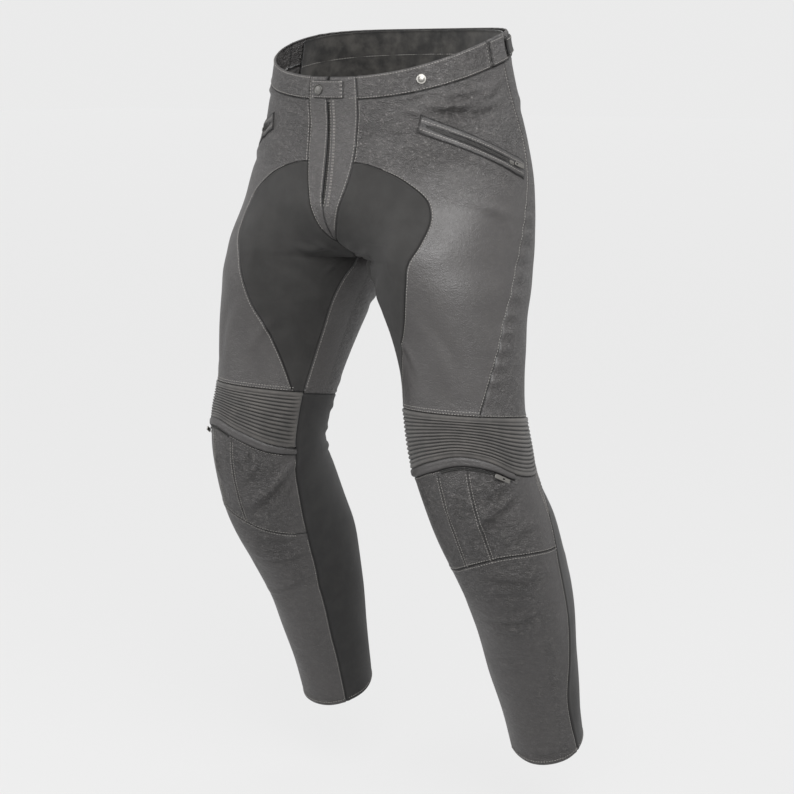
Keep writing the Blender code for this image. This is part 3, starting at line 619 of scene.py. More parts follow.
def gaps_to_edges(points):
    """Distance of every lattice point from the four edges, in mm, as one array of four."""
    along = np.linalg.norm(np.diff(points, axis=1), axis=-1)
    down = np.linalg.norm(np.diff(points, axis=0), axis=-1)
    from_left = np.pad(np.cumsum(along, axis=1), ((0, 0), (1, 0)))
    from_top = np.pad(np.cumsum(down, axis=0), ((1, 0), (0, 0)))
    return np.stack([
        from_left, from_left[:, -1:] - from_left, from_top, from_top[-1:] - from_top,
    ])


def edge_profile(gaps, free=(), darts=()):
    """Height that the rolled edges add, in mm, and the closeness of a seam, 0 to 1."""
    height = np.zeros(gaps.shape[1:])
    shade = np.zeros(gaps.shape[1:])
    for k, gap in enumerate(gaps):
        share = DART_SHARE if k in darts else 1.0
        height += share * ROLL * np.exp(-(((gap - ROLL_AT) / ROLL_WIDTH) ** 2))
        height -= share * SEAM_DIP * np.exp(-gap / DIP_REACH)
        if k not in free:
            shade = np.maximum(shade, share * np.exp(-((gap / SEAM_SHADE) ** 2)))
    return height, shade


def settle(first, last, rows, drop_of, shares):
    """Angles and drops of a lattice between two seams, whose rows may follow the angle."""
    row = np.asarray(rows, float)[:, None]
    drop = drop_of(row, np.full((len(rows), len(shares)), 90.0))
    for _ in range(8):
        start, end = first(drop), last(drop)
        angle = start + shares[None, :] * (end - start)
        drop = drop_of(row, angle)
    return angle, drop


print("edge steps over 40 mm:", len(spread(40.0)))

# %% Grain of the leather, by place
# Where the pebbled grain is strong: drop, share
GRAIN = line_table(((-20, 0.75), (12, 0.8), (90, 1.0), (135, 0.55), (175, 0.12), (400, 0.1),
                    (425, 0.4), (480, 1.0), (590, 1.0), (650, 0.75), (720, 0.4), (860, 0.35), (905, 0.55)))


def grain_at(angle, drop):
    """How coarse the grain is: the hip, the knee and the back are pebbled, the thigh is smooth."""
    turn = np.radians(angle)
    patches = 0.8 + 0.2 * np.sin(drop / 13 + 3 * turn) * np.cos(drop / 29 - 2 * turn)
    behind = np.clip((np.mod(angle, 360) - side_seam(drop)) / 6, 0, 1)
    coarse = np.maximum(GRAIN(drop), 0.7 * behind)
    shin_side = np.clip((np.abs(angle - 105) - 45) / 30, 0, 1) * np.clip((drop - 430) / 30, 0, 1)
    return np.clip(coarse * patches * (1 - 0.75 * shin_side), 0, 1)


# %% A shell from a lattice of points
pieces = {}


def new_object(name, mesh):
    """Links a mesh at the origin."""
    thing = bpy.data.objects.new(name, mesh)
    scene.collection.objects.link(thing)
    return thing


def plain_mesh(thing, name):
    """The object with its modifiers made real, as a plain mesh."""
    depsgraph = bpy.context.evaluated_depsgraph_get()
    mesh = bpy.data.meshes.new_from_object(thing.evaluated_get(depsgraph))
    old = thing.data
    thing.modifiers.clear()
    thing.data = mesh
    bpy.data.meshes.remove(old)
    mesh.name = name
    return thing


def sheet_of(name, lattices, material, wall, before=None):
    """One shell from lattices of (points in mm, values by name). Gives the object and its size."""
    points, faces, values, places = [], [], {}, []
    for grid, extra in lattices:
        rows, columns = grid.shape[:2]
        first = sum(len(p) for p in points)
        index = first + np.arange(rows * columns).reshape(rows, columns)
        quads = np.stack([index[:-1, :-1], index[1:, :-1], index[1:, 1:], index[:-1, 1:]], -1)
        keep = extra.pop("keep", None)
        quads = quads.reshape(-1, 4) if keep is None else quads[keep]
        faces.append(quads)
        points.append(grid.reshape(-1, 3))
        along = np.linalg.norm(np.diff(grid, axis=1), axis=-1)
        u = np.pad(np.cumsum(along, axis=1), ((0, 0), (1, 0)))
        u = u - u[:, columns // 2:columns // 2 + 1]
        down = np.linalg.norm(np.diff(grid, axis=0), axis=-1).mean(axis=1)
        v = np.pad(np.cumsum(down), (1, 0))[:, None] + np.zeros_like(u)
        places.append(np.stack([u, -v], -1).reshape(-1, 2) * MM)
        for key, value in extra.items():
            values.setdefault(key, []).append(np.broadcast_to(value, grid.shape[:2]).reshape(-1))
    points = np.concatenate(points) * MM
    mesh = bpy.data.meshes.new(name)
    mesh.from_pydata(points.tolist(), [], np.concatenate(faces).tolist())
    for key, parts in values.items():
        layer = mesh.attributes.new(key, "FLOAT", "POINT")
        layer.data.foreach_set("value", np.concatenate(parts).astype(np.float32))
    uv = mesh.uv_layers.new(name="cloth")
    corner = np.empty(len(mesh.loops), np.int32)
    mesh.loops.foreach_get("vertex_index", corner)
    uv.data.foreach_set("uv", np.concatenate(places)[corner].astype(np.float32).reshape(-1))
    shape = bmesh.new()
    shape.from_mesh(mesh)
    bmesh.ops.remove_doubles(shape, verts=shape.verts, dist=MERGE)
    bmesh.ops.dissolve_degenerate(shape, edges=shape.edges, dist=MERGE / 4)
    area = smooth = sum(face.calc_area() for face in shape.faces)
    shape.to_mesh(mesh)
    shape.free()
    mesh.materials.append(material)
    mesh.shade_smooth()
    thing = new_object(name, mesh)
    if before:
        before(thing)
        thing = plain_mesh(thing, name)
        # Ribs are tucks: the cloth was cut longer, by the way over every rib
        area = sum(face.area for face in thing.data.polygons)
    solidify = thing.modifiers.new("wall", "SOLIDIFY")
    solidify.thickness = wall * MM
    solidify.offset = -1.0
    thing = plain_mesh(thing, name)
    thing.data.set_sharp_from_angle(angle=math.radians(60))
    return thing, area, area / smooth


def declare(thing, node, area, lattices, cloth=True, tucked=1.0):
    """Hangs the piece on the root, hides its CAD part and keeps it under the node's name. Its cut is worked
    out but not used.
    """
    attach(thing, "root")
    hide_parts(node)
    if cloth:
        grid = lattices[0][0]
        width = np.linalg.norm(np.diff(grid, axis=1), axis=-1).sum(axis=1).max() * MM
        length = np.linalg.norm(np.diff(grid, axis=0), axis=-1).sum(axis=0).max() * MM * tucked
        width = max(width, area / length / 0.98)
        length = min(length, area / (0.32 * width))
    pieces[node] = thing


def panel(name, first, last, rows, drop_of, width, material, lift=0.0, wall=1.4,
          free=(), row_step=STEP, column_step=STEP, extra=None, before=None, cloth=True, grain=None,
          darts=()):
    """Makes a panel for both legs. rows are (first, last, length in mm)."""
    start, end, length = rows
    row_shares = start + (end - start) * spread(length, row_step)
    shares = spread(width, column_step)
    angle, drop = settle(first, last, row_shares, drop_of, shares)
    bare, normals = form(angle, drop), outward(angle, drop)
    height, shade = edge_profile(gaps_to_edges(bare), free, darts)
    for side, sign in (("left", 1.0), ("right", -1.0)):
        raised = height + relief(angle, drop, side) + lift
        if extra is not None:
            raised = raised + extra(angle, drop, side)
        grid = bare + normals * raised[..., None]
        grid[..., 0] = np.maximum(grid[..., 0], 0.15)
        grid = grid * np.array([sign, 1.0, 1.0])
        values = {"seam": shade, "grain": grain_at(angle, drop) if grain is None else grain}
        values["share"] = spread(length, row_step)[:, None]
        values["edge_fade"] = np.clip(np.minimum(angle - first(drop), last(drop) - angle) / 9, 0, 1)
        if sign < 0:
            grid = grid[:, ::-1]
            values = {k: np.broadcast_to(v, angle.shape)[:, ::-1] for k, v in values.items()}
        node = f"{name}_{side}"
        lattices = [(grid, values)]
        thing, area, tucked = sheet_of(f"{node}_cloth", lattices, material, wall, before)
        declare(thing, node, area, lattices, cloth, tucked)


def even_rows(row, angle):
    """Rows that keep their drop all round."""
    return row + np.zeros_like(angle)


def between(top, bottom):
    """Rows as shares of the way from one seam to another."""
    return lambda share, angle: top(angle) + share * (bottom(angle) - top(angle))


# %% [markdown]
# ## Materials
# Each material starts from what the real one is. The attribute "seam" darkens the
# bottom of a seam, where no light comes, and "grain" decides how strongly the leather
# is pebbled. Bump heights are given in metres, so they stay true at any size.

# %% Leather


def principled(name):
    """A new material, its tree and its shader."""
    material = bpy.data.materials.new(name)
    material.use_nodes = True
    return material, material.node_tree, material.node_tree.nodes["Principled BSDF"]


# Full-grain cowhide, drum dyed and lightly waxed: a dull black with a broad soft shine.
# Its pebbles are 1.5 to 2 mm across, and are drawn a little coarser so that they show.
PEBBLE, PORE, MOTTLE, CRUMPLE = 2.6 * MM, 0.9 * MM, 38 * MM, 5.5 * MM
PEBBLE_DEPTH = 1.4 * MM


def cowhide(name, dark, pale, roughness):
    material, tree, shader = principled(name)
    place = add(tree, "ShaderNodeTexCoord").outputs["Object"]
    grain = add(tree, "ShaderNodeAttribute", attribute_name="grain").outputs["Fac"]
    seam = add(tree, "ShaderNodeAttribute", attribute_name="seam").outputs["Fac"]
    warp = add(tree, "ShaderNodeTexNoise", {"Vector": place, "Scale": 1 / (7 * MM), "Detail": 3.0})
    shifted = add(
        tree, "ShaderNodeVectorMath", {0: warp.outputs["Color"], 1: (0.5, 0.5, 0.5)},
        operation="SUBTRACT",
    )
    bent = add(
        tree, "ShaderNodeVectorMath", {0: shifted.outputs[0], 1: (0.006,) * 3, 2: place},
        operation="MULTIPLY_ADD",
    )
    cells = add(
        tree, "ShaderNodeTexVoronoi", {"Vector": bent.outputs[0], "Scale": 1 / PEBBLE},
        feature="DISTANCE_TO_EDGE",
    )
    dome = ranged(tree, cells.outputs["Distance"], (0.0, 0.3), interpolation_type="SMOOTHSTEP")
    flat = add(tree, "ShaderNodeVectorMath", {0: place, 1: (0.85, 0.85, 1.2)}, operation="MULTIPLY")
    waves = noise(tree, flat.outputs[0], CRUMPLE, 5.0, Roughness=0.62, Distortion=0.5)
    crumple = ranged(tree, waves, (0.3, 0.7), interpolation_type="SMOOTHSTEP")
    both = maths(tree, "MULTIPLY_ADD", dome, 0.6, crumple)
    strength = ranged(tree, grain, (0.0, 1.0), (0.05, 1.0))
    pebbles = maths(tree, "MULTIPLY", both, strength)
    pores = noise(tree, place, PORE, 3.0)
    height = maths(tree, "MULTIPLY_ADD", pores, 0.15, pebbles)
    bump = add(
        tree, "ShaderNodeBump", {"Height": height, "Strength": 1.0, "Distance": PEBBLE_DEPTH},
    )
    mottle = noise(tree, place, MOTTLE, 4.0, Roughness=0.6)
    tint = blend(tree, mottle, linear(dark), linear(pale))
    # Coarse grain: its valleys are darker, partly dye and partly painted shade, and its domes paler, partly
    # rubbed and partly a painted highlight
    low = ranged(tree, both, (0.85, 0.2))
    valley = maths(tree, "MULTIPLY", low, strength)
    depth = maths(tree, "MULTIPLY", valley, 0.55)
    dye_and_painted_shade = blend(tree, depth, tint, linear("#1c1b1a"))
    high = ranged(tree, both, (1.05, 1.55))
    domes = maths(tree, "MULTIPLY", high, strength)
    rub_and_painted_highlight = maths(tree, "MULTIPLY", domes, 0.34)
    light = blend(tree, rub_and_painted_highlight, dye_and_painted_shade, linear("#93908c"))
    sunk = maths(tree, "MULTIPLY", seam, 0.85)
    colour = blend(tree, sunk, light, linear("#0c0c0c"))
    rough = ranged(tree, mottle, (0.3, 0.7), (roughness - 0.05, roughness + 0.08))
    tree.links.new(colour, shader.inputs["Base Color"])
    tree.links.new(rough, shader.inputs["Roughness"])
    tree.links.new(bump.outputs[0], shader.inputs["Normal"])
    shader.inputs["IOR"].default_value = 1.5
    return material


leather = cowhide("waxed_black_cowhide", "#3d3b3b", "#4a4847", 0.40)
print("made", leather.name)

# %% [markdown]
# The stretch cloth is a dense woven nylon with elastic yarn: matt, darker than the
# leather, with a fine weave that hardly shows from afar. Its weave follows the cloth's
# own UV map, so it turns with the panel and never slides.

# %% Woven cloths
# Threads are 0.45 mm apart on the real cloth, drawn at 1.1 mm so that they show
WEAVE = 1.1 * MM


def woven(name, dark, pale, pitch, depth, roughness, fuzz):
    material, tree, shader = principled(name)
    uv = add(tree, "ShaderNodeUVMap", uv_map="cloth").outputs["UV"]
    place = add(tree, "ShaderNodeTexCoord").outputs["Object"]
    edge = add(tree, "ShaderNodeAttribute", attribute_name="seam").outputs["Fac"]
    valley = add(tree, "ShaderNodeAttribute", attribute_name="valley").outputs["Fac"]
    # Rib valleys and seams darken the cloth: painted shade, where little light reaches
    deep = ranged(tree, valley, (0.12, 0.6))
    seam = maths(tree, "MAXIMUM", edge, deep)
    warp = add(
        tree, "ShaderNodeTexWave",
        {"Vector": uv, "Scale": 0.314 / pitch, "Distortion": 0.6, "Detail": 1.0},
        bands_direction="X",
    )
    weft = add(
        tree, "ShaderNodeTexWave",
        {"Vector": uv, "Scale": 0.314 / pitch, "Distortion": 0.6, "Detail": 1.0},
        bands_direction="Y",
    )
    weave = maths(tree, "MULTIPLY", warp.outputs["Fac"], weft.outputs["Fac"])
    fibre = noise(tree, place, 0.8 * MM, 2.0)
    height = maths(tree, "MULTIPLY_ADD", fibre, 0.4, weave)
    bump = add(tree, "ShaderNodeBump", {"Height": height, "Strength": 0.7, "Distance": depth})
    cloudy = noise(tree, place, 22 * MM, 4.0, Roughness=0.6)
    patch = ranged(tree, cloudy, (0.38, 0.68), (-0.1, 0.9))
    mixed = maths(tree, "MULTIPLY_ADD", weave, 0.45, patch)
    tint = blend(tree, mixed, linear(dark), linear(pale))
    sunk = maths(tree, "MULTIPLY", seam, 0.85)
    colour = blend(tree, sunk, tint, linear("#0a0a0a"))
    tree.links.new(colour, shader.inputs["Base Color"])
    tree.links.new(bump.outputs[0], shader.inputs["Normal"])
    shader.inputs["Roughness"].default_value = roughness
    shader.inputs["Sheen Weight"].default_value = fuzz
    shader.inputs["Sheen Roughness"].default_value = 0.5
    return material


stretch = woven("woven_stretch_nylon", "#252423", "#2c2b2a", WEAVE, 0.12 * MM, 0.9, 0.05)
# The calf cloth is the stretch nylon made darker: painted shade for the calf, which faces away from the lamps
calf_cloth = woven("stretch_nylon_darkened_as_shade", "#1b1a1a", "#252423", WEAVE, 0.12 * MM, 0.85, 0.1)
rib_cloth = woven("ribbed_stretch_nylon", "#444240", "#55524f", WEAVE, 0.12 * MM, 0.8, 0.15)
facing_cloth = woven("brushed_twill_facing", "#121110", "#3b3936", 1.4 * MM, 0.15 * MM, 0.92, 0.25)
zip_tape = woven("woven_zip_tape", "#161616", "#222222", 0.9 * MM, 0.1 * MM, 0.9, 0.1)
pocket_tape = woven("laminated_zip_tape", "#1f1e1e", "#2b2a2a", 0.9 * MM, 0.1 * MM, 0.7, 0.1)
print("made", stretch.name, rib_cloth.name, facing_cloth.name, zip_tape.name)

# %% [markdown]
# Zips, snap and stud are brass that was plated: nickel gives a warm grey shine, black
# nickel a dark one. Tumbling leaves fine scratches, which break up the reflections.
# Sewing thread is bonded polyester, pale grey with a slight gloss. The black rows round the
# welts are painted shade: the dark groove round each welt, drawn as thread.

# %% Metals and thread


def plated(name, colour, roughness, scratch):
    material, tree, shader = principled(name)
    place = add(tree, "ShaderNodeTexCoord").outputs["Object"]
    marks = noise(tree, place, scratch, 4.0)
    rough = ranged(tree, marks, (0.0, 1.0), (roughness - 0.1, roughness + 0.15))
    bump = add(tree, "ShaderNodeBump", {"Height": marks, "Strength": 0.3, "Distance": 0.05 * MM})
    tree.links.new(rough, shader.inputs["Roughness"])
    tree.links.new(bump.outputs[0], shader.inputs["Normal"])
    shader.inputs["Base Color"].default_value = linear(colour)
    shader.inputs["Metallic"].default_value = 1.0
    return material


def spun(name, colour):
    material, tree, shader = principled(name)
    place = add(tree, "ShaderNodeTexCoord").outputs["Object"]
    twist = noise(tree, place, 0.5 * MM, 2.0)
    bump = add(tree, "ShaderNodeBump", {"Height": twist, "Strength": 0.5, "Distance": 0.08 * MM})
    tree.links.new(bump.outputs[0], shader.inputs["Normal"])
    shader.inputs["Base Color"].default_value = linear(colour)
    shader.inputs["Roughness"].default_value = 0.6
    return material


nickel = plated("nickel_plated_brass", "#8f8d89", 0.36, 1.2 * MM)
black_nickel = plated("black_nickel_brass", "#5a5957", 0.40, 1.0 * MM)
thread = spun("bonded_polyester_thread", "#8f8c88")
# Black thread that stands for the dark groove round the welts: painted shade
groove_shade_thread = spun("black_thread_as_groove_shade", "#1d1c1c")
print("made", nickel.name, black_nickel.name, thread.name)

# %% [markdown]
# ## Thigh panels
# Each leg has three pieces down to the knee: a leather front, a stretch inset from the
# crotch, and a leather back that meets its twin in the seat seam. Their edges are the
# CAD's seam curves, so the shells fall exactly on the solids.

# %% Thighs
THIGH_FLAT = 300.0


def hip_drop(row, angle):
    """Rows of the hip and thigh, level at first, that end on the seam above the knee."""
    ramp = np.clip((row - THIGH_FLAT) / (KNEE_LINE - THIGH_FLAT), 0, 1)
    return row + ramp * (knee_top_seam(angle) - KNEE_LINE)


def front_edge(drop):
    """The front edge of the front panel: the shield, then the stretch inset."""
    return np.where(drop < STRETCH_TOP, shield_angle(drop), stretch_seam(drop))


def inset_edge(drop):
    """The inner edge of the stretch inset: the shield, the middle, then the inseam."""
    above = np.where(drop < SHIELD_TIP, shield_angle(drop), JUST)
    return np.where(drop < INSEAM_START, above, np.maximum(inseam(drop), JUST))


def seat_edge(drop):
    """The inner edge of the back panel: the seat seam, then the inseam."""
    return np.where(drop < INSEAM_START, BACK - JUST, BACK + np.maximum(inseam(drop), JUST))


panel(
    "front_panel", front_edge, side_seam, (WAIST_SEAM, KNEE_LINE, 410), hip_drop, 180, leather,
)
panel(
    "front_stretch", inset_edge, stretch_seam, (STRETCH_TOP, KNEE_LINE, 308), hip_drop, 130,
    stretch, lift=-0.3,
)
panel(
    "back_panel", side_seam, seat_edge, (WAIST_SEAM, KNEE_LINE, 410), hip_drop, 250, leather,
)
print("thigh panels:", len(pieces))

# %% [markdown]
# ## Ribbed knees
# Over the knee, stretch cloth is sewn over elastic in narrow ribs, so that the leather
# can bend. Ribs follow a rule, so Geometry Nodes raise them: every point moves along
# its normal by a wave of its share of the way down the piece, stored on the mesh.

# %% A node tree for ribs


def rib_tree():
    tree = bpy.data.node_groups.new("ribs_over_elastic", "GeometryNodeTree")
    face = tree.interface
    face.new_socket("Geometry", in_out="INPUT", socket_type="NodeSocketGeometry")
    for name in ("Rib count", "Rib height"):
        face.new_socket(name, in_out="INPUT", socket_type="NodeSocketFloat")
    face.new_socket("Cloth", in_out="INPUT", socket_type="NodeSocketMaterial")
    face.new_socket("Geometry", in_out="OUTPUT", socket_type="NodeSocketGeometry")
    start = add(tree, "NodeGroupInput")
    share = add(tree, "GeometryNodeInputNamedAttribute", {"Name": "share"}, data_type="FLOAT")
    fade = add(tree, "GeometryNodeInputNamedAttribute", {"Name": "edge_fade"}, data_type="FLOAT")
    turns = maths(tree, "MULTIPLY", share.outputs["Attribute"], start.outputs["Rib count"])
    phase = maths(tree, "MULTIPLY", turns, math.pi)
    wave = maths(tree, "SINE", phase)
    rise = maths(tree, "ABSOLUTE", wave)
    tube = maths(tree, "POWER", rise, 0.7)
    tall = maths(tree, "MULTIPLY", tube, start.outputs["Rib height"])
    faded = maths(tree, "MULTIPLY", tall, fade.outputs["Attribute"])
    normal = add(tree, "GeometryNodeInputNormal")
    move = add(
        tree, "ShaderNodeVectorMath", {0: normal.outputs[0], "Scale": faded}, operation="SCALE",
    )
    moved = add(
        tree, "GeometryNodeSetPosition",
        {"Geometry": start.outputs["Geometry"], "Offset": move.outputs[0]},
    )
    real = add(tree, "GeometryNodeRealizeInstances", {"Geometry": moved.outputs[0]})
    # The depth of each valley is stored as "valley", for the painted shade of the rib cloth
    low = maths(tree, "SUBTRACT", 1.0, tube)
    sunk = maths(tree, "MULTIPLY", low, fade.outputs["Attribute"])
    marked = add(
        tree, "GeometryNodeStoreNamedAttribute",
        {"Geometry": real.outputs[0], "Name": "valley", "Value": sunk}, data_type="FLOAT",
    )
    dressed = add(
        tree, "GeometryNodeSetMaterial",
        {"Geometry": marked.outputs[0], "Material": start.outputs["Cloth"]},
    )
    add(tree, "NodeGroupOutput", {"Geometry": dressed.outputs[0]})
    return tree


def set_input(modifier, name, value):
    """Sets a modifier's input by the identifier of its socket."""
    for item in modifier.node_group.interface.items_tree:
        if item.item_type == "SOCKET" and item.in_out == "INPUT" and item.name == name:
            modifier[item.identifier] = value


ribs_tree = rib_tree()


def ribbed(count, height):
    """A finish for a panel that gives it ribs."""

    def apply(thing):
        modifier = thing.modifiers.new("ribs", "NODES")
        modifier.node_group = ribs_tree
        set_input(modifier, "Rib count", float(count))
        set_input(modifier, "Rib height", height * MM)
        set_input(modifier, "Cloth", rib_cloth)

    return apply


print("rib tree has", len(ribs_tree.nodes), "nodes")

# %% [markdown]
# The ribs are narrow, 4 to 5 mm, so their panel has fine rows. Under them the padded
# arch is a flat roll of leather, and three leather patches with darts cover the knee.

# %% Knees
RIB_COUNT, RIB_HEIGHT = 14, 2.6
GUSSET_COUNT, GUSSET_HEIGHT = 14, 2.2
ARCH_ROLL = 0.9


def arch_roll(angle, drop, side):
    """The round back of the padded arch."""
    share = np.clip(
        (drop - arch_top(angle)) / np.maximum(arch_bottom(angle) - arch_top(angle), 0.01), 0, 1,
    )
    end = np.clip((ARCH_END - angle) / 4, 0, 1)
    return ARCH_ROLL * np.clip(1 - (2 * share - 1) ** 2, 0, 1) ** 0.3 * end


ribs_band = between(knee_top_seam, arch_top)
gusset_band = between(level(RIBS_END), level(GUSSET_TIP))
arch_band = between(arch_top, arch_bottom)
RIB_CLOTH_LIFT, ARCH_LIFT, ARCH_GRAIN = -0.6, 1.9, 0.15
panel(
    "knee_ribs", inseam, gusset_back, (0, 1, 62), ribs_band, 290, rib_cloth,
    lift=RIB_CLOTH_LIFT, row_step=0.62, column_step=4.0, before=ribbed(RIB_COUNT, RIB_HEIGHT),
)
panel(
    "knee_gusset", outer_seam, gusset_back, (0, 1, 66), gusset_band, 44, rib_cloth,
    lift=RIB_CLOTH_LIFT, row_step=0.8, column_step=3.0,
    before=ribbed(GUSSET_COUNT, GUSSET_HEIGHT),
)
panel(
    "knee_arch", inseam, level(ARCH_END), (0, 1, 9), arch_band, 190, leather,
    lift=ARCH_LIFT, row_step=1.0, extra=arch_roll, grain=ARCH_GRAIN,
)
patch = between(arch_bottom, knee_low_seam)
panel(
    "knee_inner", inseam, level(KNEE_DART_IN), (0, 1, 105), patch, 90, leather,
    darts=(1,),
)
panel(
    "knee_centre", level(KNEE_DART_IN), level(KNEE_DART_OUT), (0, 1, 100), patch, 38, leather,
    darts=(0, 1),
)
panel(
    "knee_outer", level(KNEE_DART_OUT), outer_seam, (0, 1, 100), patch, 105, leather,
    darts=(0,),
)
print("with the knees:", len(pieces))

# %% [markdown]
# ## Shins and calves
# Below the knee, leather covers the shin and the outside, and stretch cloth the calf.
# The hem is left open, its edge turned once.

# %% Shins and calves
SHIN_TOP, SHIN_FLAT = 600.0, 640.0
CALF_TOP = 432.0


def shin_drop(row, angle):
    """Rows of the shin, which start on the seam below the knee."""
    ramp = np.clip((SHIN_FLAT - row) / (SHIN_FLAT - SHIN_TOP), 0, 1)
    return row + ramp * (knee_low_seam(angle) - SHIN_TOP)


def calf_drop(row, angle):
    """Rows of the calf, which start on the seam above the knee."""
    ramp = np.clip((RIBS_END - row) / (RIBS_END - CALF_TOP), 0, 1)
    return row + ramp * (knee_top_seam(angle) - CALF_TOP)


def calf_edge(drop):
    """The outer edge of the calf: behind the gusset, then the outer seam."""
    return np.where(drop < GUSSET_TIP, gusset_back(drop), outer_seam(drop))


def calf_inseam(drop):
    """The inner edge of the calf, once more round the leg."""
    return BACK + inseam(drop)


panel(
    "shin_panel", inseam, outer_seam, (SHIN_TOP, HEM, 320), shin_drop, 190, leather,
    free=(3,),
)
panel(
    "calf_panel", calf_edge, calf_inseam, (CALF_TOP, HEM, 480), calf_drop, 280, calf_cloth,
    lift=-0.3, free=(3,),
)
print("with the shins:", len(pieces))

# %% [markdown]
# ## Waist
# The waistband is leather outside, gathered on elastic at the sides, and faced with
# brushed twill inside the back. On each side a keeper holds a strap that adjusts it.

# %% Waistband and facing
PUCKER_FROM, PUCKER_TO, PUCKERS, PUCKER_HEIGHT = 198.0, 262.0, 6, 1.8
FACING_FROM, FACING_TOP, FACING_LOW, FACING_WALL = 186.0, -18.0, 44.0, 1.0
FACING_BEHIND, FACING_SEAM = 2.85, 16.0


def pucker(angle, drop):
    """Gathers of the elastic, a little uneven."""
    turns = (angle - PUCKER_FROM) / (PUCKER_TO - PUCKER_FROM)
    wave = np.sin(math.pi * PUCKERS * turns + 0.5 * np.sin(drop / 9)) ** 2
    return np.where((turns > 0) & (turns < 1), PUCKER_HEIGHT * wave, 0)


def round_back(name, first, rows, width, material, lift, wall, bumps=None, step=STEP):
    """One piece round the back, from the wearer's left side to the right."""
    start, end, length = rows
    row_shares = start + (end - start) * spread(length)
    shares = spread(width, step)
    shares = shares[shares <= 0.5] * 2 if abs(shares - 0.5).min() < 1e-6 else np.append(
        shares[shares < 0.5] * 2, 1.0,
    )
    angle, drop = settle(level(first), level(BACK - JUST), row_shares, even_rows, shares)
    bare, normals = form(angle, drop), outward(angle, drop)
    flip = np.array([-1.0, 1.0, 1.0])
    halves = [(bare * flip)[:, ::-1][:, 1:]]
    whole = np.concatenate([bare, halves[0]], axis=1)
    normal = np.concatenate([normals, (normals * flip)[:, ::-1][:, 1:]], axis=1)
    height, shade = edge_profile(gaps_to_edges(whole), free=(2,))
    left = relief(angle, drop, "left") * 0.4
    right_side = relief(angle, drop, "right") * 0.4
    raised = np.concatenate([left, right_side[:, ::-1][:, 1:]], axis=1)
    if bumps:
        extra = bumps(angle, drop)
        raised = raised + np.concatenate([extra, extra[:, ::-1][:, 1:]], axis=1)
    grid = whole + normal * (height + raised + lift)[..., None]
    values = {"seam": shade, "grain": np.full(shade.shape, 0.7)}
    lattices = [(grid, values)]
    thing, area, _ = sheet_of(f"{name}_cloth", lattices, material, wall)
    declare(thing, name, area, lattices)


panel("waistband_front", shield_angle, level(BAND_SEAM), (WAIST_TOP, WAIST_SEAM, 32), even_rows, 175, leather,
      lift=0.2, free=(2,))
round_back(
    "waistband_back", BAND_SEAM, (WAIST_TOP, WAIST_SEAM, 32), 480, leather, 0.2, 1.4,
    pucker, 2.2,
)


def facing_waves(angle, drop):
    """Soft waves of the loose facing cloth."""
    return 0.35 * np.sin(angle / 5) * np.sin(drop / 14) - 0.35


round_back("waist_facing", FACING_FROM, (FACING_TOP, FACING_LOW, 62), 460, facing_cloth,
           -FACING_BEHIND, FACING_WALL, facing_waves)

# %% Side adjusters
KEEPER_FROM, KEEPER_TO, KEEPER_TOP, KEEPER_LOW = 177.0, 194.0, -18.5, 11.0
STRAP_FROM, STRAP_TO, STRAP_TOP, STRAP_LOW = 197.0, 254.0, -13.0, 8.0


def keeper_round(angle, drop, side):
    """The keeper is a loop: it stands higher along its middle."""
    share = (angle - KEEPER_FROM) / (KEEPER_TO - KEEPER_FROM)
    return 0.9 * np.sin(np.pi * np.clip(share, 0, 1)) ** 0.5


panel("adjuster_keeper", level(KEEPER_FROM), level(KEEPER_TO), (KEEPER_TOP, KEEPER_LOW, 29.5), even_rows, 30,
      leather, lift=2.6, wall=1.8, row_step=2.0, column_step=2.0, extra=keeper_round)
panel("adjuster_strap", level(STRAP_FROM), level(STRAP_TO), (STRAP_TOP, STRAP_LOW, 21), even_rows, 100,
      stretch, lift=4.2, wall=1.4, row_step=2.0)
print("with the waist:", len(pieces))

# %% [markdown]
# ## The fly
# A pointed shield of leather covers the fly. A slit down it shows the zip behind, and a
# tab with a snap crosses its top. These pieces lie across the middle of the body, so
# they are laid out in x instead of in angles.

# %% The fly
FLY_RAISED = 0.5
TAB_RIGHT, TAB_LEFT, TAB_TOP, TAB_LOW = -46.0, 27.0, -15.0, 10.0
TAB_LIFT = 2.2


def front_skin(x, drop):
    """Points and normals on the front of the hips, x mm to the wearer's left, with folds."""
    angle = np.maximum(angle_at(x, drop), JUST)
    flip = np.stack([np.where(x < 0, -1.0, 1.0), np.ones_like(x), np.ones_like(x)], -1)
    folds = np.where(x < 0, relief(angle, drop, "right"), relief(angle, drop, "left"))
    return form(angle, drop) * flip, outward(angle, drop) * flip, folds


def front_piece(
    name, start, end, rows, width, material, lift, wall=1.4, cloth=True, free=(), grain=0.35,
    bow=0.0,
):
    """A piece on the front of the hips between two widths, each read at a drop."""
    first, last, length = rows
    drop = (first + (last - first) * spread(length))[:, None] + np.zeros(len(spread(width)))
    shares = spread(width)[None, :]
    x = start(drop) + shares * (end(drop) - start(drop))
    points, normals, folds = front_skin(x, drop)
    height, shade = edge_profile(gaps_to_edges(points), free)
    raised = height + folds + lift + bow * np.sin(np.pi * shares) ** 0.5
    grid = points + normals * raised[..., None]
    lattices = [(grid, {"seam": shade, "grain": np.full(shade.shape, grain)})]
    thing, area, _ = sheet_of(f"{name}_cloth", lattices, material, wall)
    declare(thing, name, area, lattices, cloth)


def slit_left(drop):
    return slit_centre(drop) + slit_half(drop)


def slit_right(drop):
    return slit_centre(drop) - slit_half(drop)


def shield_right(drop):
    return -shield_half(drop)


def tape_left(drop):
    return slit_centre(drop) + 13.0


def tape_right(drop):
    return slit_centre(drop) - 13.0


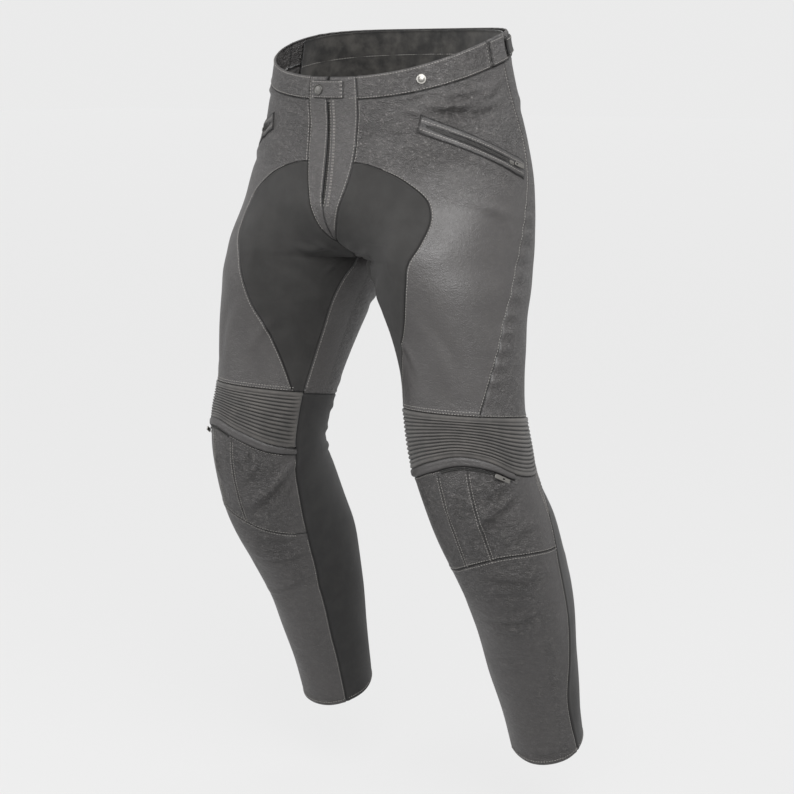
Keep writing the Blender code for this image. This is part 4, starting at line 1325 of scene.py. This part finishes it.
front_piece(
    "fly_left", slit_left, shield_half, (WAIST_TOP, SHIELD_TIP, 245), 65, leather,
    FLY_RAISED,
)
front_piece(
    "fly_right", shield_right, slit_right, (WAIST_TOP, SHIELD_TIP, 245), 48, leather,
    FLY_RAISED,
)
front_piece("fly_zip", tape_right, tape_left, (16, 172, 156), 26, zip_tape, -2.6, 1.0)
front_piece("centre_tab", level(TAB_RIGHT), level(TAB_LEFT), (TAB_TOP, TAB_LOW, 25), 74, leather,
            TAB_LIFT, 1.8, bow=0.3)
print("with the fly:", len(pieces))

# %% [markdown]
# ## Zip pockets
# A slanting hip pocket is framed by a welt of thin leather with rolled lips, which close
# to a point at both ends. Behind the slot lies the tape of its zip.

# %% Zip pockets
POCKET_FRONT_TOP, POCKET_BACK_TOP = (112.0, 47.0), (187.0, 126.0)
POCKET_FRONT_LOW, POCKET_BACK_LOW = (108.0, 70.0), (184.0, 144.0)
SLOT_HALF, SLOT_FIRST, SLOT_LAST = 0.21, 0.05, 0.95
WELT_LIFT, WELT_WALL = 1.35, 1.0
TAPE_LIFT, TAPE_WALL = 0.95, 0.6


def pocket_place(share, height):
    """Angle and drop on the pocket's welt, along and down it."""
    share = np.asarray(share, float)[..., None]
    height = np.asarray(height, float)[..., None]
    top = np.array(POCKET_FRONT_TOP) + share * (np.array(POCKET_BACK_TOP) - POCKET_FRONT_TOP)
    low = np.array(POCKET_FRONT_LOW) + share * (np.array(POCKET_BACK_LOW) - POCKET_FRONT_LOW)
    return top + height * (low - top)


def slot_open(share):
    """How far the slot is open at a share of its length, 0 to 1."""
    inside = np.clip((share - SLOT_FIRST) / (SLOT_LAST - SLOT_FIRST), 0, 1)
    return np.sin(np.pi * inside) ** 0.35


def laid_strip(share, height, side, lift):
    """A lattice on the pocket's place, lifted, mirrored for the wearer's right."""
    place = pocket_place(share, height)
    angle, drop = place[..., 0], place[..., 1]
    raised = relief(angle, drop, side) + lift
    grid = form(angle, drop) + outward(angle, drop) * raised[..., None]
    if side == "right":
        grid = (grid * np.array([-1.0, 1.0, 1.0]))[:, ::-1]
    return grid


for side in ("left", "right"):
    shares = spread(170.0)[None, :] + np.zeros((9, 1))
    opened = 0.75 * SLOT_HALF * slot_open(shares)
    rows = np.linspace(0, 1, 9)[:, None]
    rolled = 0.55 * np.sin(np.pi * rows) ** 0.6 - 0.25
    strips = []
    for heights in (rows * (0.5 - opened), 0.5 + opened + rows * (0.5 - opened)):
        grid = laid_strip(shares, heights, side, WELT_LIFT + rolled)
        outer_gap = np.minimum(rows, 1 - rows) * 9.0
        shade = np.exp(-((outer_gap / 1.9) ** 2)) + np.zeros_like(shares)
        strips.append((grid, {"seam": shade, "grain": np.full(shade.shape, 0.25)}))
    thing, area, _ = sheet_of(f"pocket_welt_{side}_cloth", strips, leather, WELT_WALL)
    # A welt is cut as one rectangle, and its slot is cut into it
    whole = laid_strip(shares, rows + np.zeros_like(shares), side, WELT_LIFT)
    declare(thing, f"pocket_welt_{side}", area, [(whole, {})])
    inside = np.linspace(0.075, 0.925, 60)[None, :] + np.zeros((5, 1))
    across = np.linspace(0.4, 0.6, 5)[:, None] + np.zeros((1, 60))
    grid = laid_strip(inside, across, side, TAPE_LIFT)
    strips = [(grid, {"seam": np.zeros(grid.shape[:2])})]
    thing, area, _ = sheet_of(f"pocket_zip_{side}_cloth", strips, pocket_tape, TAPE_WALL)
    declare(thing, f"pocket_zip_{side}", area, strips, cloth=False)

# %% Knee zips
KNEE_ZIP_FROM, KNEE_ZIP_TO, KNEE_ZIP_BELOW, KNEE_TAPE = 94.0, 162.0, 3.8, 2.4


def knee_zip_line(angle):
    """The middle of the knee zip, below the arch."""
    return arch_bottom(angle) + KNEE_ZIP_BELOW


def knee_zip_rows(share, angle):
    """The tape that shows is a narrow strip right below the arch."""
    return arch_bottom(angle) + 1.5 + share * KNEE_TAPE


panel("knee_zip", level(KNEE_ZIP_FROM), level(KNEE_ZIP_TO), (0, 1, 4.6), knee_zip_rows, 85, zip_tape,
      lift=0.95, wall=0.6, row_step=1.2, cloth=False)
print("with the zips:", len(pieces))

# %% [markdown]
# ## Sliders, pulls, snap and stud
# Hard parts are small castings: their edges are bevelled and nothing on them is sharp.
# A slider is a body with a bridge, and its pull a flat tab with a slot at one end. Only
# the pull moves, about the bridge, so it rides on its own body.

# %% Small metal parts
SLIDER_LONG, SLIDER_WIDE, SLIDER_TALL = 8.0, 4.8, 1.8
PULL_LONG, PULL_WIDE, PULL_THICK, PULL_CLEAR = 16.0, 5.0, 1.4, 0.6
BRIDGE_WIDE = 1.6
SLOT_LONG, SLOT_WIDE = 3.2, 1.8


class Spot:
    """A place on the form, with its own length, width and height directions."""

    def __init__(self, at, up, ahead):
        self.at, self.up = at, up / np.linalg.norm(up)
        ahead = ahead - self.up * np.dot(ahead, self.up)
        self.along = ahead / np.linalg.norm(ahead)
        self.across = np.cross(self.up, self.along)

    def matrix(self, side):
        """Turns millimetres along, across and up into the world, mirrored for the right."""
        flip = np.array([1.0 if side == "left" else -1.0, 1.0, 1.0])
        columns = [self.along * flip, self.across * flip, self.up * flip, self.at * flip]
        return Matrix([[float(c[k]) * MM for c in columns] for k in range(3)] + [[0, 0, 0, 1]])


def metal_piece(name, build, matrix, material, bevel):
    """A small solid made by build(bmesh) in mm, bevelled and put in its place."""
    shape = bmesh.new()
    build(shape)
    bmesh.ops.recalc_face_normals(shape, faces=shape.faces)
    mesh = bpy.data.meshes.new(name)
    shape.to_mesh(mesh)
    shape.free()
    thing = new_object(name, mesh)
    rounding = thing.modifiers.new("rounding", "BEVEL")
    rounding.width = bevel
    rounding.segments = 2
    rounding.limit_method = "ANGLE"
    rounding.angle_limit = math.radians(35)
    thing = plain_mesh(thing, name)
    thing.data.transform(matrix)
    if matrix.determinant() < 0:
        thing.data.flip_normals()
    thing.data.materials.clear()
    thing.data.materials.append(material)
    thing.data.shade_smooth()
    thing.data.set_sharp_from_angle(angle=math.radians(35))
    return thing


def prism(shape, outline, low, high, hole=None):
    """A plate with an outline and perhaps a hole of as many corners."""
    rings = []
    for loop in ([outline] if hole is None else [outline, hole]):
        rings.append([[shape.verts.new((x, y, z)) for x, y in loop] for z in (low, high)])
    count = len(outline)
    for ring in rings:
        for k in range(count):
            shape.faces.new((ring[0][k], ring[0][(k + 1) % count], ring[1][(k + 1) % count], ring[1][k]))
    for level_of in (0, 1):
        if hole is None:
            shape.faces.new(rings[0][level_of])
        else:
            outer, inner = rings[0][level_of], rings[1][level_of]
            for k in range(count):
                after = (k + 1) % count
                shape.faces.new((outer[k], outer[after], inner[after], inner[k]))


def rounded(start, end, width, corner, count=5):
    """A rectangle's outline with round corners."""
    half, points = width / 2, []
    for cx, cy, first in (
        (end - corner, half - corner, 0), (start + corner, half - corner, 90),
        (start + corner, corner - half, 180), (end - corner, corner - half, 270),
    ):
        for k in range(count):
            turn = math.radians(first + 90 * k / (count - 1))
            points.append((cx + corner * math.cos(turn), cy + corner * math.sin(turn)))
    return points


def build_slider(shape):
    """Body of the slider and the bridge that holds the pull."""
    prism(
        shape, rounded(-SLIDER_LONG / 2, SLIDER_LONG / 2, SLIDER_WIDE, 1.1), 0, SLIDER_TALL * 0.62,
    )
    prism(
        shape, rounded(-SLIDER_LONG / 2 + 0.8, SLIDER_LONG / 2 - 0.6, BRIDGE_WIDE, 0.6),
        SLIDER_TALL * 0.55, SLIDER_TALL,
    )


def build_pull(shape):
    """A flat tab with a slot at its root, its length along x."""
    start = SLIDER_LONG / 2 + PULL_CLEAR
    outline = rounded(start, start + PULL_LONG, PULL_WIDE, 1.4)
    hole = rounded(start + 1.1, start + 1.1 + SLOT_LONG, SLOT_WIDE, 0.8)
    prism(shape, outline, SLIDER_TALL, SLIDER_TALL + PULL_THICK, hole)


def put_zip_slider(kind, at, up, ahead, on_top, material):
    """A slider and its pull on both sides of the garment."""
    spot = Spot(at + up * on_top, up, ahead)
    for side in ("left", "right"):
        slider = metal_piece(
            f"{kind}_slider_{side}_cast", build_slider, spot.matrix(side), material, 0.25,
        )
        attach(slider, "root")
        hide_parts(f"{kind}_slider_{side}")
        pull = metal_piece(f"{kind}_pull_{side}_cast", build_pull, spot.matrix(side), material, 0.3)
        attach(pull, f"{kind}_pull_{side}")
        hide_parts(f"{kind}_pull_{side}")
        pieces[f"{kind}_slider_{side}"], pieces[f"{kind}_pull_{side}"] = slider, pull


POCKET_SLIDER_SHARE = 0.86
KNEE_SLIDER_ANGLE, KNEE_PULL_TURN = 156.0, 8.0
SLIDER_SEAT = 1.3

place = pocket_place(POCKET_SLIDER_SHARE, 0.5)
ahead = pocket_place(1.0, 0.5)
at = form(place[0], place[1])
put_zip_slider(
    "pocket", at, outward(place[0], place[1]), form(ahead[0], ahead[1]) - at, SLIDER_SEAT, nickel,
)
at = form(KNEE_SLIDER_ANGLE, knee_zip_line(np.array(KNEE_SLIDER_ANGLE)))
turned = np.array(KNEE_SLIDER_ANGLE - KNEE_PULL_TURN)
put_zip_slider("knee", at, outward(KNEE_SLIDER_ANGLE, knee_zip_line(np.array(KNEE_SLIDER_ANGLE))),
               form(turned, knee_zip_line(turned)) - at, SLIDER_SEAT, nickel)

# %% Snap and stud
SNAP_X, SNAP_DROP, SNAP_SEAT = -31.0, -2.0, 2.5
STUD_ANGLE, STUD_DROP, STUD_SEAT = 116.0, -3.0, 0.35
# Profiles turned about the upright: radius, height
SNAP_PROFILE = (
    (0, 1.15), (2.2, 1.1), (3.6, 0.8), (4.3, 0.75), (4.9, 1.35), (5.6, 1.55), (6.3, 1.3),
    (6.7, 0.7), (6.8, 0.0),
)
STUD_PROFILE = (
    (0, 2.1), (1.6, 2.05), (3.2, 1.7), (4.0, 1.15), (4.6, 1.0), (5.3, 1.1), (5.8, 0.8), (6.0, 0.3),
    (6.0, 0.0),
)
TURNS = 40


def turned_part(profile):
    """A closed round part from its profile."""

    def build(shape):
        rings = []
        for radius, height in profile[1:]:
            turns = [2 * math.pi * k / TURNS for k in range(TURNS)]
            rings.append([
                shape.verts.new((radius * math.cos(turn), radius * math.sin(turn), height))
                for turn in turns
            ])
        top = shape.verts.new((0, 0, profile[0][1]))
        base = shape.verts.new((0, 0, profile[-1][1]))
        for k in range(TURNS):
            after = (k + 1) % TURNS
            shape.faces.new((top, rings[0][k], rings[0][after]))
            shape.faces.new((base, rings[-1][after], rings[-1][k]))
            for inner, outer in zip(rings, rings[1:]):
                shape.faces.new((inner[k], outer[k], outer[after], inner[after]))

    return build


points, normals, _ = front_skin(np.array([SNAP_X]), np.array([SNAP_DROP]))
spot = Spot(points[0] + normals[0] * SNAP_SEAT, normals[0], np.array([1.0, 0, 0]))
snap = metal_piece("snap_cap", turned_part(SNAP_PROFILE), spot.matrix("left"), black_nickel, 0.05)
up_there = outward(STUD_ANGLE, STUD_DROP)
spot = Spot(form(STUD_ANGLE, STUD_DROP) + up_there * STUD_SEAT, up_there, np.array([0.0, 0.0, 1.0]))
stud = metal_piece("stud_left_cap", turned_part(STUD_PROFILE), spot.matrix("left"), nickel, 0.05)
for node, thing in (("snap", snap), ("stud_left", stud)):
    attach(thing, "root")
    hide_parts(node)
    pieces[node] = thing
print("pieces that stand for CAD nodes:", len(pieces), "of", len(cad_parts))

# %% [markdown]
# ## Sewing
# Leather is sewn with long stitches, three or four to the centimetre, that lie on the
# surface beside the seam. One node tree turns any line into a row of stitches: the line
# is cut into equal steps, and each step gets one small thread shape along the line.

# %% A node tree for rows of stitches


def row_tree(name, wide, long, long_share, material, ball_kind, ball_settings):
    """Nodes that set small balls along lines, as the stitches of a seam or the teeth of a zip."""
    tree = bpy.data.node_groups.new(name, "GeometryNodeTree")
    face = tree.interface
    face.new_socket("Geometry", in_out="INPUT", socket_type="NodeSocketGeometry")
    for socket in ("Pitch", wide, long):
        face.new_socket(socket, in_out="INPUT", socket_type="NodeSocketFloat")
    face.new_socket(material, in_out="INPUT", socket_type="NodeSocketMaterial")
    face.new_socket("Geometry", in_out="OUTPUT", socket_type="NodeSocketGeometry")
    start = add(tree, "NodeGroupInput")
    line = add(tree, "GeometryNodeMeshToCurve", {"Mesh": start.outputs["Geometry"]})
    along = {"Curve": line.outputs[0], "Length": start.outputs["Pitch"]}
    steps = add(tree, "GeometryNodeCurveToPoints", along, mode="LENGTH")
    ball = add(tree, ball_kind, ball_settings)
    half_wide = start.outputs[wide]
    half_long = maths(tree, "MULTIPLY", start.outputs[long], long_share)
    size = add(tree, "ShaderNodeCombineXYZ", {"X": half_wide, "Y": half_wide, "Z": half_long})
    placed = add(tree, "GeometryNodeInstanceOnPoints", {
        "Points": steps.outputs["Points"], "Instance": ball.outputs["Mesh"],
        "Rotation": steps.outputs["Rotation"], "Scale": size.outputs[0],
    })
    real = add(tree, "GeometryNodeRealizeInstances", {"Geometry": placed.outputs[0]})
    wear = {"Geometry": real.outputs[0], "Material": start.outputs[material]}
    dressed = add(tree, "GeometryNodeSetMaterial", wear)
    add(tree, "NodeGroupOutput", {"Geometry": dressed.outputs[0]})
    return tree


sewing = row_tree(
    "rows_of_stitches", "Thread radius", "Stitch length", 0.5, "Thread",
    "GeometryNodeMeshUVSphere", {"Segments": 5, "Rings": 4, "Radius": 1.0},
)
STITCH_PITCH, STITCH_LONG, THREAD_RADIUS = 3.6 * MM, 2.6 * MM, 0.42 * MM
THREAD_LIFT = 0.45
GREY_STITCHES = {
    "Pitch": STITCH_PITCH, "Stitch length": STITCH_LONG, "Thread radius": THREAD_RADIUS,
    "Thread": thread,
}


def rows_to_piece(name, lines, tree, inputs):
    """Lines of points in mm become one object through a node tree."""
    points, edges = [], []
    for line in lines:
        first = len(points)
        points += [tuple(p) for p in np.asarray(line) * MM]
        edges += [(first + k, first + k + 1) for k in range(len(line) - 1)]
    mesh = bpy.data.meshes.new(name)
    mesh.from_pydata(points, edges, [])
    thing = new_object(name, mesh)
    modifier = thing.modifiers.new("rows", "NODES")
    modifier.node_group = tree
    for key, value in inputs.items():
        set_input(modifier, key, value)
    thing = plain_mesh(thing, name)
    thing.data.shade_smooth()
    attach(thing, "root")
    print(name, len(lines), "rows,", len(thing.data.polygons), "faces")
    return thing


def skin(angle, drop, side, lift):
    """Points on the folded cloth of one side, lifted in mm."""
    angle, drop = np.broadcast_arrays(np.asarray(angle, float), np.asarray(drop, float))
    grid = form(angle, drop) + outward(angle, drop) * (relief(angle, drop, side) + lift)[..., None]
    return grid if side == "left" else grid * np.array([-1.0, 1.0, 1.0])


def down_row(seam, offset, first, last, side, lift=THREAD_LIFT):
    """A row beside a seam that runs down the leg, offset in mm to the back."""
    drop = np.arange(first, last + 1, 4.0)
    angle = seam(drop)
    return skin(angle + offset / degree_mm(angle, drop), drop, side, lift)


def round_row(seam, offset, first, last, side, lift=THREAD_LIFT):
    """A row beside a seam that runs round the leg, offset in mm downwards."""
    angle = np.arange(first, last + 0.5, 2.0)
    return skin(angle, seam(angle) + offset, side, lift)


def front_row(across, offset, first, last, lift=THREAD_LIFT):
    """A row on the shield, at a width that depends on the drop."""
    drop = np.arange(first, last + 1, 4.0)
    x = across(drop) + offset
    points, normals, folds = front_skin(x, drop)
    return points + normals * (folds + lift)[:, None]


# %% Rows beside the seams
# seam, offset, first and last drop, lift
DOWN_ROWS = (
    (side_seam, -2.4, 16, 420, THREAD_LIFT), (stretch_seam, 2.4, 124, 420, THREAD_LIFT),
    (shield_angle, 2.6, 16, 112, THREAD_LIFT), (inseam, -2.2, 262, 418, THREAD_LIFT),
    (level(KNEE_DART_IN), -2.0, 488, 578, THREAD_LIFT), (level(KNEE_DART_IN), 2.0, 488, 576, THREAD_LIFT),
    (level(KNEE_DART_OUT), -2.0, 482, 570, THREAD_LIFT), (level(KNEE_DART_OUT), 2.0, 482, 568, THREAD_LIFT),
    (outer_seam, -2.4, 512, 900, THREAD_LIFT), (inseam, 2.4, 510, 604, THREAD_LIFT),
    (inseam, 2.4, 622, 900, THREAD_LIFT), (level(BAND_SEAM), -2.2, -16, 9, 0.7),
)
# seam, offset, first and last angle, lift
ROUND_ROWS = (
    (knee_top_seam, -2.4, 39, 232, THREAD_LIFT), (knee_top_seam, -5.6, 39, 136, THREAD_LIFT),
    (arch_bottom, 1.6, 40, 92, THREAD_LIFT), (knee_low_seam, -2.2, 48, 190, THREAD_LIFT),
    (knee_low_seam, 2.2, 48, 190, THREAD_LIFT),
    (level(9.6), 0.0, 48, 175, 0.7), (level(-17.6), 0.0, 48, 175, 0.7),
    (level(HEM - 6), 0.0, 46, 174, THREAD_LIFT), (level(HEM - 6), 0.0, 182, 396, 0.1),
)
BACK_ROWS = (
    (level(9.6), 0.0, 178, 359), (level(-17.6), 0.0, 178, 196), (level(-17.6), 0.0, 264, 359),
)
for side in ("left", "right"):
    lines = [down_row(*row[:4], side, row[4]) for row in DOWN_ROWS]
    lines += [round_row(*row[:4], side, row[4]) for row in ROUND_ROWS]
    lines += [round_row(*row, side, 0.7) for row in BACK_ROWS]
    # The seam of the facing, on its inner side
    inner_side = -FACING_BEHIND - FACING_WALL - 0.3
    lines.append(round_row(level(FACING_SEAM), 0.0, FACING_FROM + 2, 359, side, inner_side))
    # Round the welt and along the slot's lips
    along = np.linspace(0.015, 0.985, 60)
    for height in (0.22, 0.78):
        place = pocket_place(along, np.full(60, height))
        lines.append(skin(place[:, 0], place[:, 1], side, WELT_LIFT + 0.3))
    # Keeper and strap
    for drop in (KEEPER_TOP + 2, KEEPER_LOW - 2):
        lines.append(round_row(level(drop), 0.0, KEEPER_FROM + 1, KEEPER_TO - 1, side, 3.7))
    for drop in (STRAP_TOP + 2, STRAP_LOW - 2):
        lines.append(round_row(level(drop), 0.0, STRAP_FROM + 1, STRAP_TO - 1, side, 4.7))
    rows_to_piece(f"stitches_{side}", lines, sewing, GREY_STITCHES)

# The dark groove round each welt is painted shade: a near-unbroken row of black thread close along its edges
WELT_SHADE_LIFT = 0.35
for side in ("left", "right"):
    lines = []
    along = np.linspace(-0.012, 1.012, 60)
    for height in (-0.045, 1.045):
        place = pocket_place(along, np.full(60, height))
        lines.append(skin(place[:, 0], place[:, 1], side, WELT_SHADE_LIFT))
    across = np.linspace(0.0, 1.0, 12)
    for share in (-0.014, 1.014):
        place = pocket_place(np.full(12, share), across)
        lines.append(skin(place[:, 0], place[:, 1], side, WELT_SHADE_LIFT))
    rows_to_piece(f"welt_groove_shade_{side}", lines, sewing, {
        "Pitch": 2.4 * MM, "Stitch length": 2.3 * MM, "Thread radius": 0.55 * MM, "Thread": groove_shade_thread,
    })

lines = [front_row(shield_half, -2.6, -14, 208, 0.9), front_row(shield_right, 2.6, -14, 208, 0.9)]
lines += [front_row(slit_left, offset, 14, 176, 0.9) for offset in (2.2, 8.5, 11.0)]
lines += [front_row(slit_right, -2.2, 14, 176, 0.9)]
for x in (TAB_RIGHT + 2.2, TAB_LEFT - 2.2, TAB_LEFT - 5.0):
    lines.append(front_row(level(x), 0.0, TAB_TOP + 2, TAB_LOW - 2, TAB_LIFT + 0.6))
for drop in (TAB_TOP + 2.2, TAB_LOW - 2.2):
    x = np.linspace(TAB_RIGHT + 2.2, TAB_LEFT - 2.2, 20)
    points, normals, folds = front_skin(x, np.full(20, drop))
    lines.append(points + normals * (folds + TAB_LIFT + 0.6)[:, None])
rows_to_piece("stitches_fly", lines, sewing, GREY_STITCHES)

# %% [markdown]
# ## Zip teeth
# Moulded teeth stand in two rows that lock in turn. The same idea as the stitches makes
# them: a line, equal steps, and a small block on each, turned across the line.

# %% Rows of zip teeth
teeth = row_tree(
    "zip_teeth", "Tooth width", "Tooth size", 1.0, "Metal",
    "GeometryNodeMeshIcoSphere", {"Subdivisions": 1, "Radius": 1.0},
)
TOOTH_PITCH, TOOTH_WIDE, TOOTH_LONG = 1.6 * MM, 0.75 * MM, 0.55 * MM
FLY_TOOTH_PITCH, FLY_TOOTH_WIDE, FLY_TOOTH_LONG = 2.2 * MM, 1.1 * MM, 0.75 * MM
POCKET_TEETH_HEIGHTS, POCKET_TEETH_LIFT = (0.46, 0.54), 0.35
KNEE_TEETH_DROP, KNEE_TEETH_LIFT = 2.7, 0.2
FLY_TEETH_ASIDE, FLY_TEETH_FROM, FLY_TEETH_TO, FLY_TEETH_LIFT = (-0.9, 0.9), 20, 168, -1.9
for side in ("left", "right"):
    lines = []
    along = np.linspace(0.09, 0.83, 90)
    for height in POCKET_TEETH_HEIGHTS:
        place = pocket_place(along, np.full(90, height))
        lines.append(skin(place[:, 0], place[:, 1], side, TAPE_LIFT + POCKET_TEETH_LIFT))
    angle = np.arange(KNEE_ZIP_FROM + 2, KNEE_SLIDER_ANGLE - 5, 1.5)
    lines.append(skin(angle, arch_bottom(angle) + KNEE_TEETH_DROP, side, TAPE_LIFT + KNEE_TEETH_LIFT))
    rows_to_piece(f"zip_teeth_{side}", lines, teeth, {
        "Pitch": TOOTH_PITCH, "Tooth width": TOOTH_WIDE, "Tooth size": TOOTH_LONG, "Metal": black_nickel,
    })
lines = [
    front_row(slit_centre, aside, FLY_TEETH_FROM, FLY_TEETH_TO, FLY_TEETH_LIFT)
    for aside in FLY_TEETH_ASIDE
]
rows_to_piece("zip_teeth_fly", lines, teeth, {
    "Pitch": FLY_TOOTH_PITCH, "Tooth width": FLY_TOOTH_WIDE, "Tooth size": FLY_TOOTH_LONG,
    "Metal": black_nickel,
})

# %% [markdown]
# ## Finish
# Last, the CAD nodes that have no piece here are listed, and the box of the CAD is printed.

# %% Sizes and finish
left_over = [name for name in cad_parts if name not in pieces]
print("CAD nodes without a piece:", left_over)
print("cad", [[round(float(v), 4) for v in c] for c in cad_box])
